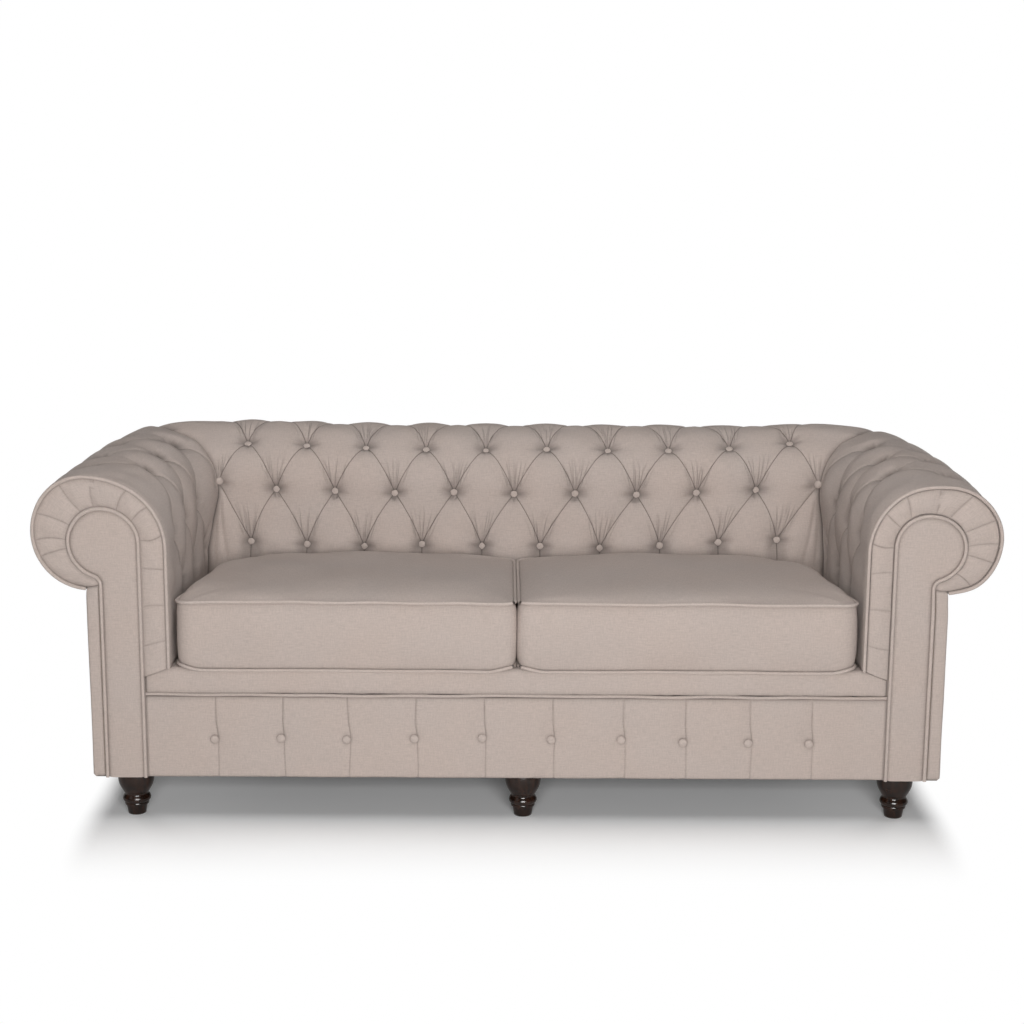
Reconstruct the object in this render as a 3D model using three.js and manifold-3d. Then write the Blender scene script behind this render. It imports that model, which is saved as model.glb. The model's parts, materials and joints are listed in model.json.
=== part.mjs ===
// Rolled-arm sofa with a deep-buttoned back and arms, a pleated and buttoned front rail,
// two loose box cushions and six turned feet.
// Millimetres: +X runs to the right as seen from the front, +Y to the back and +Z up.
// The origin lies on the floor under the middle of the sofa.

import * as THREE from 'three';
import { mergeVertices } from 'three/addons/utils/BufferGeometryUtils.js';
import Module from 'manifold-3d';

const wasm = await Module();
wasm.setup();

// Overall size and running gaps
const WIDTH = 2060;
const DEPTH = 900;
const HEIGHT = 760;
const FIT = 0.3;
const OVERRUN = 10;

// The roll that runs round the arms and the back, measured over the cover
const ROLL_R = 122;
const CROWN_R = 152;
const CROWN_SET_IN = 13;
const WALL_SET_OUT = 11;
const CORNER_R = 58;
const COVER_T = 30;
const BACK_LEAN = THREE.MathUtils.degToRad(9.7);

// Heights of the body
const FOOT_H = 99;
const BODY_Z = 99.3;
const RAIL_H = 150;
const DECK_Z = 345;
const CORE_DROP = 88;

// Front of the arms: flat scroll panel, gathered band and their piping
const PIPE_R = 4.5;
const PANEL_T = 9;
const PANEL_ROUND = 2;
const BAND_T = 6;
const SCROLL_R = 76.5;
const SCROLL_SET_IN = 27;
const SCROLL_DROP = 15;
const SCROLL_NECK_R = 22;
const LEG_W = 82.5;
const BAND_SEAM_DROP = 19;
const BAND_PLEAT = 2;
const BAND_LEG_PLEATS = 3;

// Buttoned covers
const BACK_PITCH = 147.5;
const ARM_PITCH = 160;
const ARM_FIRST_BUTTON = 95;
const ARM_LAST_BUTTON = 305;
const TUFT_ROW_SHARES = [0.16, 0.306, 0.44, 0.617];
const PLEAT_DEPTH = 9;
const BUTTON_SINK = 9;
const BUTTON_SPREAD = 26;
const BUTTON_R = 9.5;
const BUTTON_H = 6;
const BUTTON_SHARES = [[0, -0.5], [1, 0], [0.62, 0.8], [0, 1]];
const BUTTON_SIDES = 5;
const PLEAT_SHARPNESS = 1.25;
const BACK_CELLS = 9;
const BACK_CELL_STEPS = 4;
const ARM_CALM_SHARE = 3.25;
const ARM_STEPS = 13;
const ARM_END_STEPS = 4;

// Front rail cover
const APRON_SET = 10;
const APRON_T = 9;
const APRON_TOP = 285;
const APRON_PITCH = 144;
const APRON_BUTTONS = 10;
const APRON_BUTTON_Z = 190;
const APRON_PLEAT = 3;
const APRON_PLEAT_HALF = 7;

// Loose cushions
const CUSHION_GAP = 10;
const CUSHION_SIDE_GAP = 8;
const CUSHION_FRONT_SET = 5;
const CUSHION_REAR_GAP = 7;
const CUSHION_BOXING = 142;
const CUSHION_CROWN = 24;
const CUSHION_CORNER_R = 38;
const CUSHION_OUTER_R = 130;
const CUSHION_NARROWING = 26;
const CUSHION_FALL = 24;
const CUSHION_DRAW_IN = 5;
const CUSHION_BELLY = 3;
const CUSHION_NOTCH = 7.2;
const LID_SQUARENESS = 2.6;
const LID_FULLNESS = 0.62;
const LID_RING_SHARES = [0.95, 0.82, 0.6, 0.3];

// Frame timber, webbing and boards
const RAIL_T = 28;
const BOARD_T = 18;
const BACK_BOARD_T = 15;
const SHEET_T = 6.7;
const STRAP_W = 60;
const STRAP_T = 2.5;
const STRAP_TAIL = 40;
const STRAPS = 6;
const CROSS_STRAPS = 2;
const PLANK_W = 100;
const PLANK_T = 40;
const BLOCK_D = 84;
const POST_SET = 12;
const POST_PLUG_R = 50;
const POST_PLUG_L = 50;
const END_SET = 4;
const DUST_T = 1.2;
const DUST_INSET = 4;
const BORDER_SET = 7;
const BORDER_T = 46;
const BORDER_ROUND = 14;

// Feet
const FOOT_SET_IN = 76;
const MIDDLE_FOOT_X = 16;
const FOOT_SET_BACK = 58;
const REAR_FOOT_SET = 8;
const BOLT_R = 4;
const BOLT_L = 30;
const FOOT_R = 38;
const FOOT_SEGMENTS = 12;

// Worked out from the sizes above
const ROLL_X = WIDTH / 2 - ROLL_R;
const ROLL_Y = DEPTH / 2 - ROLL_R;
const ROLL_Z = HEIGHT - ROLL_R;
const CROWN_Z = HEIGHT - CROWN_R;
const CORE_Z = ROLL_Z - CORE_DROP;
const FRONT_Y = -DEPTH / 2;
const PIPE_Y = FRONT_Y + PIPE_R;
const FACE_Y = PIPE_Y + PIPE_R + FIT;
const ARM_FACE_X = ROLL_X - CROWN_SET_IN - CROWN_R;
const WALL_X = ROLL_X + WALL_SET_OUT;
const WALL_Y = ROLL_Y + WALL_SET_OUT;
const CORNER_X = ROLL_X - CORNER_R;
const CORNER_Y = ROLL_Y - CORNER_R;
const TIMBER_X = WALL_X - SHEET_T - FIT;
const TIMBER_Y = WALL_Y - SHEET_T - FIT;
const INNER_X = ARM_FACE_X + COVER_T + FIT;
const WALL_ANGLE = Math.acos(WALL_SET_OUT / ROLL_R);
const RAIL_Z = BODY_Z + DUST_T + FIT;
const RAIL_TOP = RAIL_Z + RAIL_H;
const APRON_REAR_Y = FRONT_Y + APRON_SET + APRON_T;
const RAIL_FRONT = APRON_REAR_Y + FIT;
const STRAP_Z = RAIL_TOP + FIT;
const CROSS_Z = STRAP_Z + STRAP_T + FIT;
const STUFFING_Z = CROSS_Z + STRAP_T + FIT;
const BOARD_BACK = FACE_Y + BOARD_T;
const RAIL_BACK = RAIL_FRONT + RAIL_T;
const REAR_RAIL_FRONT = TIMBER_Y - RAIL_T;
const SCROLL_X = ROLL_X - SCROLL_SET_IN;
const SCROLL_Z = ROLL_Z - SCROLL_DROP;
const LEG_IN = SCROLL_X - SCROLL_R;
const LEG_OUT = LEG_IN + LEG_W;
const APRON_X = LEG_IN - PIPE_R - FIT;
const BETWEEN_X = INNER_X - FIT;
const CORE_INSET = COVER_T + FIT;
const CORE_FOOT_Z = CORE_Z - FIT;
const RIGHT = 1;
const LEFT = -1;

const FABRIC = { color: 0xb7a9a0, roughness: 0.95, metalness: 0 };
const PIPING = { color: 0xc4b6ad, roughness: 0.9, metalness: 0 };
const DARK_WOOD = { color: 0x24150f, roughness: 0.25, metalness: 0 };
const TIMBER = { color: 0xc29a68, roughness: 0.75, metalness: 0 };
const FOAM = { color: 0xe6dcb8, roughness: 1, metalness: 0 };
const WEBBING = { color: 0x6e6a62, roughness: 0.9, metalness: 0 };
const DUST_CLOTH = { color: 0x1c1c1e, roughness: 1, metalness: 0 };

const sofa = new THREE.Group();

function add(name, geometry, finish) {
  const mesh = new THREE.Mesh(geometry, new THREE.MeshStandardMaterial(finish));
  mesh.name = name;
  sofa.add(mesh);
  return mesh;
}

function side(hand) {
  return hand === LEFT ? 'left' : 'right';
}

// Closed meshes and booleans

function bare(geometry) {
  const plain = geometry.clone();
  for (const key of Object.keys(plain.attributes)) {
    if (key !== 'position') plain.deleteAttribute(key);
  }
  return mergeVertices(plain, 1e-4);
}

function toSolid(geometry) {
  const merged = bare(geometry);
  const mesh = new wasm.Mesh({
    numProp: 3,
    vertProperties: new Float32Array(merged.attributes.position.array),
    triVerts: new Uint32Array(merged.index.array),
  });
  return new wasm.Manifold(mesh);
}

function toGeometry(solid) {
  const mesh = solid.getMesh();
  const geometry = new THREE.BufferGeometry();
  geometry.setAttribute('position', new THREE.BufferAttribute(new Float32Array(mesh.vertProperties), 3));
  geometry.setIndex(new THREE.BufferAttribute(new Uint32Array(mesh.triVerts), 1));
  return geometry;
}

function cut(geometry, ...tools) {
  return toGeometry(tools.reduce((body, tool) => body.subtract(toSolid(tool)), toSolid(geometry)));
}

function join(geometry, ...others) {
  return toGeometry(others.reduce((body, other) => body.add(toSolid(other)), toSolid(geometry)));
}

function common(geometry, other) {
  return toGeometry(toSolid(geometry).intersect(toSolid(other)));
}

function boxFrom(low, high) {
  const [x, y, z] = high.map((value, axis) => value - low[axis]);
  const geometry = new THREE.BoxGeometry(x, y, z);
  return geometry.translate(low[0] + x / 2, low[1] + y / 2, low[2] + z / 2);
}

function shapeOf(points) {
  return new THREE.Shape(points.map(([a, b]) => new THREE.Vector2(a, b)));
}

// A plan outline (x, y) raised from one height to another
function raised(points, low, high) {
  const geometry = new THREE.ExtrudeGeometry(shapeOf(points), { depth: high - low, bevelEnabled: false });
  return geometry.translate(0, 0, low);
}

// A front outline (x, z) pushed back from one depth to another
function pushedBack(points, front, back) {
  const geometry = new THREE.ExtrudeGeometry(shapeOf(points), { depth: back - front, bevelEnabled: false });
  return geometry.rotateX(Math.PI / 2).translate(0, back, 0);
}

// A side outline (y, z) drawn across from one x to another
function drawnAcross(points, from, to) {
  const geometry = new THREE.ExtrudeGeometry(shapeOf(points), { depth: to - from, bevelEnabled: false });
  return geometry.rotateX(Math.PI / 2).rotateZ(Math.PI / 2).translate(from, 0, 0);
}

// Mirrors a geometry of the right-hand side when the left-hand one is wanted
function handed(geometry, hand) {
  if (hand === RIGHT) return geometry;
  const flipped = bare(geometry).scale(-1, 1, 1);
  const index = flipped.index.array;
  for (let i = 0; i < index.length; i += 3) {
    [index[i], index[i + 1]] = [index[i + 1], index[i]];
  }
  return flipped;
}

// A closed skin from triangles of points: equal points are welded, flat folds dropped,
// and the faces turned outwards
function closedSkin(triangles) {
  const points = [];
  const known = new Map();
  const indexOf = (point) => {
    const key = point.toArray().map((value) => Math.round(value * 1e4)).join();
    if (!known.has(key)) known.set(key, points.push(point) - 1);
    return known.get(key);
  };
  const faces = triangles
    .map((corners) => corners.map(indexOf))
    .filter(([a, b, c]) => a !== b && b !== c && c !== a);
  const volume = faces.reduce((sum, [a, b, c]) =>
    sum + points[a].dot(new THREE.Vector3().crossVectors(points[b], points[c])), 0);
  if (volume < 0) faces.forEach((face) => face.reverse());
  const geometry = new THREE.BufferGeometry();
  const places = points.flatMap((point) => point.toArray());
  geometry.setAttribute('position', new THREE.Float32BufferAttribute(places, 3));
  geometry.setIndex(faces.flat());
  return geometry;
}

// Triangles of a grid of points; each cell is split along its deeper diagonal
function gridFaces(grid, depths) {
  const faces = [];
  for (let j = 0; j + 1 < grid.length; j += 1) {
    for (let i = 0; i + 1 < grid[j].length; i += 1) {
      const [a, b, c, d] = [grid[j][i], grid[j][i + 1], grid[j + 1][i + 1], grid[j + 1][i]];
      const along = depths ? depths[j][i] + depths[j + 1][i + 1] : 0;
      const across = depths ? depths[j][i + 1] + depths[j + 1][i] : 0;
      if (along >= across) faces.push([a, b, c], [a, c, d]);
      else faces.push([a, b, d], [b, c, d]);
    }
  }
  return faces;
}

function lengthShares(line) {
  const sums = [0];
  for (let i = 1; i < line.length; i += 1) sums.push(sums[i - 1] + line[i].distanceTo(line[i - 1]));
  return sums.map((value) => value / sums[sums.length - 1]);
}

// Triangles between two lines of points that run the same way
function stitch(lineA, lineB) {
  const sharesA = lengthShares(lineA);
  const sharesB = lengthShares(lineB);
  const faces = [];
  let i = 0;
  let j = 0;
  while (i + 1 < lineA.length || j + 1 < lineB.length) {
    const stepA = j + 1 >= lineB.length || (i + 1 < lineA.length && sharesA[i + 1] <= sharesB[j + 1]);
    if (stepA) {
      faces.push([lineA[i], lineA[i + 1], lineB[j]]);
      i += 1;
    } else {
      faces.push([lineA[i], lineB[j + 1], lineB[j]]);
      j += 1;
    }
  }
  return faces;
}

// A padded panel: a shaped front grid and a plain back grid, joined round their edges
function panel(front, back, depths) {
  const column = (grid, i) => grid.map((row) => row[i < 0 ? row.length - 1 : i]);
  const last = (grid) => grid[grid.length - 1];
  const faces = gridFaces(front, depths);
  const flipped = (list) => list.map(([a, b, c]) => [a, c, b]);
  faces.push(...flipped(gridFaces(back)));
  faces.push(...flipped(stitch(front[0], back[0])));
  faces.push(...stitch(last(front), last(back)));
  faces.push(...stitch(column(front, 0), column(back, 0)));
  faces.push(...flipped(stitch(column(front, -1), column(back, -1))));
  return closedSkin(faces);
}

// A path through given points, sampled at those points
class SampledPath extends THREE.Curve {
  constructor(points) {
    super();
    this.points = points;
  }

  getPoint(t, target = new THREE.Vector3()) {
    const place = t * (this.points.length - 1);
    const low = Math.min(Math.floor(place + 1e-9), this.points.length - 2);
    return target.lerpVectors(this.points[low], this.points[low + 1], place - low);
  }

  getPointAt(t, target) {
    return this.getPoint(t, target);
  }

  getTangentAt(t, target = new THREE.Vector3()) {
    const near = Math.round(t * (this.points.length - 1));
    const next = this.points[Math.min(near + 1, this.points.length - 1)];
    const before = this.points[Math.max(near - 1, 0)];
    return target.subVectors(next, before).normalize();
  }
}

function piping(points) {
  const sides = 6;
  const section = [...Array(sides).keys()].map((k) => {
    const angle = (k / sides) * 2 * Math.PI;
    return [PIPE_R * Math.cos(angle), PIPE_R * Math.sin(angle)];
  });
  return new THREE.ExtrudeGeometry(shapeOf(section), {
    steps: points.length - 1,
    extrudePath: new SampledPath(points),
    bevelEnabled: false,
  });
}

function spread(from, to, steps) {
  return [...Array(steps + 1).keys()].map((k) => from + ((to - from) * k) / steps);
}

// The cover's section. Its share runs from 0 at the seat, up the inside face, over the roll,
// to 1 under the roll at the outer wall. u is measured outwards from the roll's centre line.

const LEAN_TOP_Z = CROWN_Z + CROWN_R * Math.sin(BACK_LEAN);
const COVER_FOOT_Z = DECK_Z + FIT;
const FACE_LENGTH = (LEAN_TOP_Z - COVER_FOOT_Z) / Math.cos(BACK_LEAN);
const CROWN_LENGTH = CROWN_R * (Math.PI / 2 - BACK_LEAN);
const ROLL_LENGTH = ROLL_R * (Math.PI / 2 + WALL_ANGLE);
const COVER_LENGTH = FACE_LENGTH + CROWN_LENGTH + CROWN_SET_IN + ROLL_LENGTH;

function faceShare(z) {
  return (z - COVER_FOOT_Z) / Math.cos(BACK_LEAN) / COVER_LENGTH;
}

function rollShare(angle) {
  return 1 - (ROLL_R * (angle + WALL_ANGLE)) / COVER_LENGTH;
}

function crownShare(angle) {
  return (FACE_LENGTH + CROWN_R * (Math.PI - BACK_LEAN - angle)) / COVER_LENGTH;
}

function section(share, lean, inset = 0) {
  let rest = share * COVER_LENGTH;
  if (rest < FACE_LENGTH) {
    const z = COVER_FOOT_Z + rest * Math.cos(BACK_LEAN);
    const leanTop = CROWN_Z + CROWN_R * Math.sin(lean);
    if (z <= leanTop) {
      const u = -CROWN_SET_IN - CROWN_R / Math.cos(lean) - (CROWN_Z - z) * Math.tan(lean);
      const level = z === COVER_FOOT_Z ? inset * Math.tan(lean) : 0;
      const [nu, nz] = [-Math.cos(lean), Math.sin(lean)];
      return { u: u - inset * nu + level * nz, z: z - inset * nz + level * Math.cos(lean), nu, nz };
    }
    const angle = Math.PI - Math.asin((z - CROWN_Z) / CROWN_R);
    return arc(-CROWN_SET_IN, CROWN_Z, CROWN_R - inset, angle);
  }
  rest -= FACE_LENGTH;
  if (rest < CROWN_LENGTH) {
    return arc(-CROWN_SET_IN, CROWN_Z, CROWN_R - inset, Math.PI - BACK_LEAN - rest / CROWN_R);
  }
  rest -= CROWN_LENGTH;
  if (rest < CROWN_SET_IN) return { u: rest - CROWN_SET_IN, z: HEIGHT - inset, nu: 0, nz: 1 };
  rest -= CROWN_SET_IN;
  return arc(0, ROLL_Z, ROLL_R - inset, Math.PI / 2 - rest / ROLL_R);
}

function arc(cu, cz, r, angle) {
  const [nu, nz] = [Math.cos(angle), Math.sin(angle)];
  return { u: cu + r * nu, z: cz + r * nz, nu, nz };
}

// Coarse rows shared by the covers' backs and by everything that fits inside them
const CROWN_STEPS = 4;
const ROLL_STEPS = 8;
const INNER_SHARES = [
  0,
  faceShare(CROWN_Z),
  ...spread(crownShare(Math.PI - BACK_LEAN), crownShare(Math.PI / 2), CROWN_STEPS),
  ...spread(rollShare(Math.PI / 2), 1, ROLL_STEPS),
];

// Where a row of the cover lies along an arm or the back. The distance runs from the front of
// the arm, or from the middle of the back, to the mitre at the corner.
function alongArm(share, lean, inset) {
  const arm = section(share, 0, inset);
  const back = section(share, lean, inset);
  const turn = Math.max(CORNER_R + arm.u, 0);
  const straight = turn > 0 ? CORNER_Y : ROLL_Y + back.u;
  return { own: arm, turn, straight, end: straight + (turn * Math.PI) / 4 };
}

function alongBack(share, lean, inset) {
  const arm = section(share, 0, inset);
  const back = section(share, lean, inset);
  const turn = Math.max(CORNER_R + arm.u, 0);
  const straight = turn > 0 ? CORNER_X : ROLL_X + arm.u;
  return { own: back, turn, straight, end: straight + (turn * Math.PI) / 4 };
}

function armPoint(row, y, sink) {
  const { own, turn, straight } = row;
  const bend = turn > 0 ? Math.max(y - straight, 0) / turn : 0;
  const reach = own.u - own.nu * sink;
  const z = Math.max(own.z - own.nz * sink, Math.min(own.z, COVER_FOOT_Z));
  if (bend === 0) return new THREE.Vector3(ROLL_X + reach, y, z);
  const r = CORNER_R + reach;
  return new THREE.Vector3(CORNER_X + r * Math.cos(bend), CORNER_Y + r * Math.sin(bend), z);
}

function backPoint(row, x, sink) {
  const { own, turn, straight } = row;
  const away = Math.abs(x);
  const bend = turn > 0 ? Math.max(away - straight, 0) / turn : 0;
  const reach = own.u - own.nu * sink;
  const z = Math.max(own.z - own.nz * sink, Math.min(own.z, COVER_FOOT_Z));
  if (bend === 0) return new THREE.Vector3(x, ROLL_Y + reach, z);
  const r = CORNER_R + reach;
  const px = CORNER_X + r * Math.sin(bend);
  return new THREE.Vector3(Math.sign(x) * px, CORNER_Y + r * Math.cos(bend), z);
}

// Depth of the buttoning at a place: a lattice of buttons joined by pleats, with straight
// pleats above the top row and below the lowest
const TUFT_ROWS = TUFT_ROW_SHARES.map((share) => share * COVER_LENGTH);

function tuftDepth(place, height, pitch, firstButton) {
  const rows = TUFT_ROWS;
  let low = rows.findLastIndex((row) => row <= height);
  const outside = low < 0 || low === rows.length - 1;
  low = Math.max(low, 0);
  const rise = outside ? 0 : (height - rows[low]) / (rows[low + 1] - rows[low]);
  const cells = (place - firstButton) / pitch + (low % 2) / 2;
  const off = Math.abs(cells - Math.round(cells));
  const fold = Math.abs(off - rise / 2) * 2;
  const pleat = PLEAT_DEPTH * (1 - Math.sin((Math.min(fold * PLEAT_SHARPNESS, 1) * Math.PI) / 2));
  const sinks = rows.map((row, index) => {
    const steps = (place - firstButton) / pitch + (index % 2) / 2;
    const apart = Math.hypot((steps - Math.round(steps)) * pitch, height - row);
    return BUTTON_SINK * Math.exp(-((apart / BUTTON_SPREAD) ** 2));
  });
  return pleat + Math.max(...sinks);
}

function smooth(value, from, to) {
  return THREE.MathUtils.smoothstep(value, Math.min(from, to), Math.max(from, to));
}

const COVER_ROW_STEPS = [2, 2, 2, 3];
const COVER_SHARES = [
  ...COVER_ROW_STEPS.flatMap((steps, k) => {
    return spread(TUFT_ROW_SHARES[k - 1] ?? 0, TUFT_ROW_SHARES[k], steps).slice(0, -1);
  }),
  ...spread(TUFT_ROW_SHARES[3], rollShare(0), 3).slice(0, -1),
  ...spread(rollShare(0), 1, 2),
];

const END_STEPS = 5;
const CORNER_STEPS = 3;

function button(point, normal) {
  const profile = BUTTON_SHARES.map(([r, h]) => new THREE.Vector2(r * BUTTON_R, h * BUTTON_H));
  const turn = new THREE.Quaternion().setFromUnitVectors(new THREE.Vector3(0, 1, 0), normal);
  const dome = new THREE.LatheGeometry(profile, BUTTON_SIDES);
  return dome.applyQuaternion(turn).translate(point.x, point.y, point.z);
}

function insideBack() {
  const half = (BACK_PITCH * BACK_CELLS) / 2;
  const depthRows = [];
  const front = COVER_SHARES.map((share) => {
    const row = alongBack(share, BACK_LEAN, 0);
    const right = spread(half, row.end, END_STEPS).slice(1);
    const middle = spread(-half, half, BACK_CELLS * BACK_CELL_STEPS);
    const places = [...right.map((x) => -x).reverse(), ...middle, ...right];
    const depths = places.map((x) => {
      const calm = 1 - smooth(Math.abs(x), half, row.end);
      return calm * tuftDepth(x, share * COVER_LENGTH, BACK_PITCH, BACK_PITCH / 2);
    });
    depthRows.push(depths);
    return places.map((x, i) => backPoint(row, x - FIT * (x / row.end), depths[i]));
  });
  const back = INNER_SHARES.map((share) => {
    const row = alongBack(share, BACK_LEAN, COVER_T);
    const bends = spread(0, 1, CORNER_STEPS).map((k) => row.straight + (row.end - row.straight) * k);
    const places = [...bends.map((x) => -x).reverse(), ...bends];
    return places.map((x) => backPoint(row, x - Math.sign(x) * FIT, 0));
  });
  const pad = panel(front, back, depthRows);
  return join(pad, ...BACK_BUTTONS.map(([x, share]) => {
    const row = alongBack(share, BACK_LEAN, 0);
    const sink = tuftDepth(x, share * COVER_LENGTH, BACK_PITCH, BACK_PITCH / 2);
    return button(backPoint(row, x, sink), new THREE.Vector3(0, row.own.nu, row.own.nz));
  }));
}

function buttonPlaces(pitch, firstButton, low, high) {
  return TUFT_ROW_SHARES.slice(0, -1).flatMap((share, row) => {
    const start = firstButton + (row % 2 ? pitch / 2 : 0);
    const first = Math.ceil((low - start) / pitch);
    const last = Math.floor((high - start) / pitch);
    return [...Array(last - first + 1).keys()].map((k) => [start + (first + k) * pitch, share]);
  });
}

const BACK_REACH = (BACK_PITCH * BACK_CELLS) / 2 + FIT;
const BACK_BUTTONS = buttonPlaces(BACK_PITCH, BACK_PITCH / 2, -BACK_REACH, BACK_REACH);
const ARM_BUTTONS = buttonPlaces(ARM_PITCH, ARM_FIRST_BUTTON, -ARM_LAST_BUTTON, ARM_FIRST_BUTTON);

function insideArm(hand) {
  const start = ARM_FIRST_BUTTON - ARM_PITCH * ARM_CALM_SHARE;
  const depthRows = [];
  const front = COVER_SHARES.map((share) => {
    const row = alongArm(share, BACK_LEAN, 0);
    const corner = spread(ARM_FIRST_BUTTON, row.end, ARM_END_STEPS).slice(1);
    const places = [FACE_Y, ...spread(start, ARM_FIRST_BUTTON, ARM_STEPS), ...corner];
    const depths = places.map((y) => {
      const calm = smooth(y, start, -ARM_LAST_BUTTON) * (1 - smooth(y, ARM_FIRST_BUTTON, row.end));
      return calm * tuftDepth(y, share * COVER_LENGTH, ARM_PITCH, ARM_FIRST_BUTTON);
    });
    depthRows.push(depths);
    return places.map((y, i) => armPoint(row, y, depths[i]));
  });
  const back = INNER_SHARES.map((share) => {
    const row = alongArm(share, BACK_LEAN, COVER_T);
    const bends = spread(row.straight, row.end, CORNER_STEPS);
    return [FACE_Y, ...bends].map((y) => armPoint(row, y, 0));
  });
  const pad = panel(front, back, depthRows);
  const buttoned = join(pad, ...ARM_BUTTONS.map(([y, share]) => {
    const row = alongArm(share, BACK_LEAN, 0);
    const sink = tuftDepth(y, share * COVER_LENGTH, ARM_PITCH, ARM_FIRST_BUTTON);
    return button(armPoint(row, y, sink), new THREE.Vector3(row.own.nu, 0, row.own.nz));
  }));
  return handed(buttoned, hand);
}

add('inside_back', insideBack(), FABRIC);
for (const hand of [LEFT, RIGHT]) add(`inside_arm_${side(hand)}`, insideArm(hand), FABRIC);

// The front of an arm. The flat scroll panel stands inside its own piping. The gathered band
// lies between that piping and the piping along the edge of the cover.

const SCROLL_STEPS = 20;
const NECK_STEPS = 4;
const NECK_X = LEG_OUT + SCROLL_NECK_R;
const NECK_REACH = SCROLL_R + SCROLL_NECK_R;
const SCROLL_END = -Math.acos((NECK_X - SCROLL_X) / NECK_REACH);
const NECK_Z = SCROLL_Z + NECK_REACH * Math.sin(SCROLL_END);
const SCROLL_ANGLES = spread(Math.PI, SCROLL_END, SCROLL_STEPS);
const NECK_ANGLES = spread(SCROLL_END + Math.PI, Math.PI, NECK_STEPS).slice(1);

// The inner piping's line, set in towards the panel by an amount
function innerOutline(set) {
  const round = SCROLL_ANGLES.map((angle) => {
    return [SCROLL_X + (SCROLL_R - set) * Math.cos(angle), SCROLL_Z + (SCROLL_R - set) * Math.sin(angle)];
  });
  const neck = NECK_ANGLES.map((angle) => {
    const r = SCROLL_NECK_R + set;
    return [NECK_X + r * Math.cos(angle), NECK_Z + r * Math.sin(angle)];
  });
  return [[LEG_IN + set, BODY_Z], ...round, ...neck, [LEG_OUT - set, BODY_Z]];
}

// A point of the cover's edge at an angle round the roll, set in by an amount
function edgePoint(angle, set) {
  const { u, z } = angle > Math.PI / 2
    ? arc(-CROWN_SET_IN, CROWN_Z, CROWN_R - set, angle)
    : arc(0, ROLL_Z, ROLL_R - set, angle);
  return [ROLL_X + u, z];
}

const EDGE_ANGLES = [...SCROLL_ANGLES, ...spread(SCROLL_END, -WALL_ANGLE, NECK_STEPS).slice(1)];

function outerOutline(set) {
  return [[ARM_FACE_X + set, COVER_FOOT_Z + FIT], ...EDGE_ANGLES.map((angle) => edgePoint(angle, set))];
}

function scrollPiping(outline) {
  return piping(outline.map(([x, z]) => new THREE.Vector3(x, PIPE_Y, z)));
}

function scrollPanel() {
  const shape = shapeOf(innerOutline(PIPE_R + FIT));
  const geometry = new THREE.ExtrudeGeometry(shape, {
    depth: PANEL_T - PANEL_ROUND,
    bevelThickness: PANEL_ROUND / 2,
    bevelSize: PANEL_ROUND,
    bevelOffset: -PANEL_ROUND,
    bevelSegments: 1,
  });
  return geometry.rotateX(Math.PI / 2).translate(0, FACE_Y - FIT - PANEL_ROUND / 2, 0);
}

function scrollBand() {
  const edgeSet = 2 * PIPE_R + FIT;
  const legFoot = COVER_FOOT_Z + FIT;
  const legSteps = BAND_LEG_PLEATS * 2 + 1;
  const legRows = spread(0, 1, legSteps).slice(0, -1).map((share) => [
    [LEG_IN - PIPE_R - FIT, legFoot - BAND_SEAM_DROP * (1 - share) + (SCROLL_Z - legFoot) * share],
    [ARM_FACE_X + edgeSet, legFoot + (CROWN_Z - legFoot) * share],
  ]);
  const inner = innerOutline(-PIPE_R - FIT).slice(1, -1);
  const turnRows = inner.map((point, k) => [point, edgePoint(EDGE_ANGLES[k], edgeSet)]);
  const rows = [...legRows, ...turnRows];
  const pleated = rows.map((row, k) => (k % 2 ? 0 : 1));
  pleated[0] = 0;
  const across = [0, 0.3, 0.7, 1];
  const rear = FACE_Y - FIT;
  const grid = rows.map(([a, b], k) => across.map((share) => {
    const crown = Math.sqrt(Math.sin(Math.PI * share)) * (1 + pleated[k]) * (BAND_PLEAT / 2);
    return new THREE.Vector3(a[0] + (b[0] - a[0]) * share, rear - BAND_T - crown + BAND_PLEAT / 2,
      a[1] + (b[1] - a[1]) * share);
  }));
  const flat = rows.map((row) => row.map(([x, z]) => new THREE.Vector3(x, rear, z)));
  return panel(grid, flat);
}

for (const hand of [LEFT, RIGHT]) {
  add(`arm_panel_${side(hand)}`, handed(scrollPanel(), hand), FABRIC);
  add(`scroll_band_${side(hand)}`, handed(scrollBand(), hand), FABRIC);
  add(`outer_piping_${side(hand)}`, handed(scrollPiping(outerOutline(PIPE_R)), hand), PIPING);
  add(`inner_piping_${side(hand)}`, handed(scrollPiping(innerOutline(0)), hand), PIPING);
}

// Flat outer covers: each arm's turns the front corner, the back's turns both rear corners

const WALL_TOP = ROLL_Z - ROLL_R * Math.sin(WALL_ANGLE) - FIT;

function outsideArm() {
  const front = FACE_Y - FIT;
  const [tipX, tipZ] = edgePoint(-WALL_ANGLE, 2 * PIPE_R + FIT);
  const strip = pushedBack([
    [LEG_OUT + PIPE_R + FIT, BODY_Z],
    [tipX - FIT, BODY_Z],
    [tipX - FIT, tipZ - FIT],
    [LEG_OUT + PIPE_R + FIT, NECK_Z - FIT],
  ], front - BAND_T, front);
  const wall = raised([
    [LEG_OUT + PIPE_R + FIT, front - BAND_T],
    [WALL_X, front - BAND_T],
    [WALL_X, CORNER_Y - FIT],
    [WALL_X - SHEET_T, CORNER_Y - FIT],
    [WALL_X - SHEET_T, front],
    [LEG_OUT + PIPE_R + FIT, front],
  ], BODY_Z, WALL_TOP);
  return join(wall, strip);
}

function cornerArc(r, hand, from, to) {
  return spread(from, to, CORNER_STEPS * 2).map((angle) => {
    return [hand * (CORNER_X + r * Math.cos(angle)), CORNER_Y + r * Math.sin(angle)];
  });
}

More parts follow.
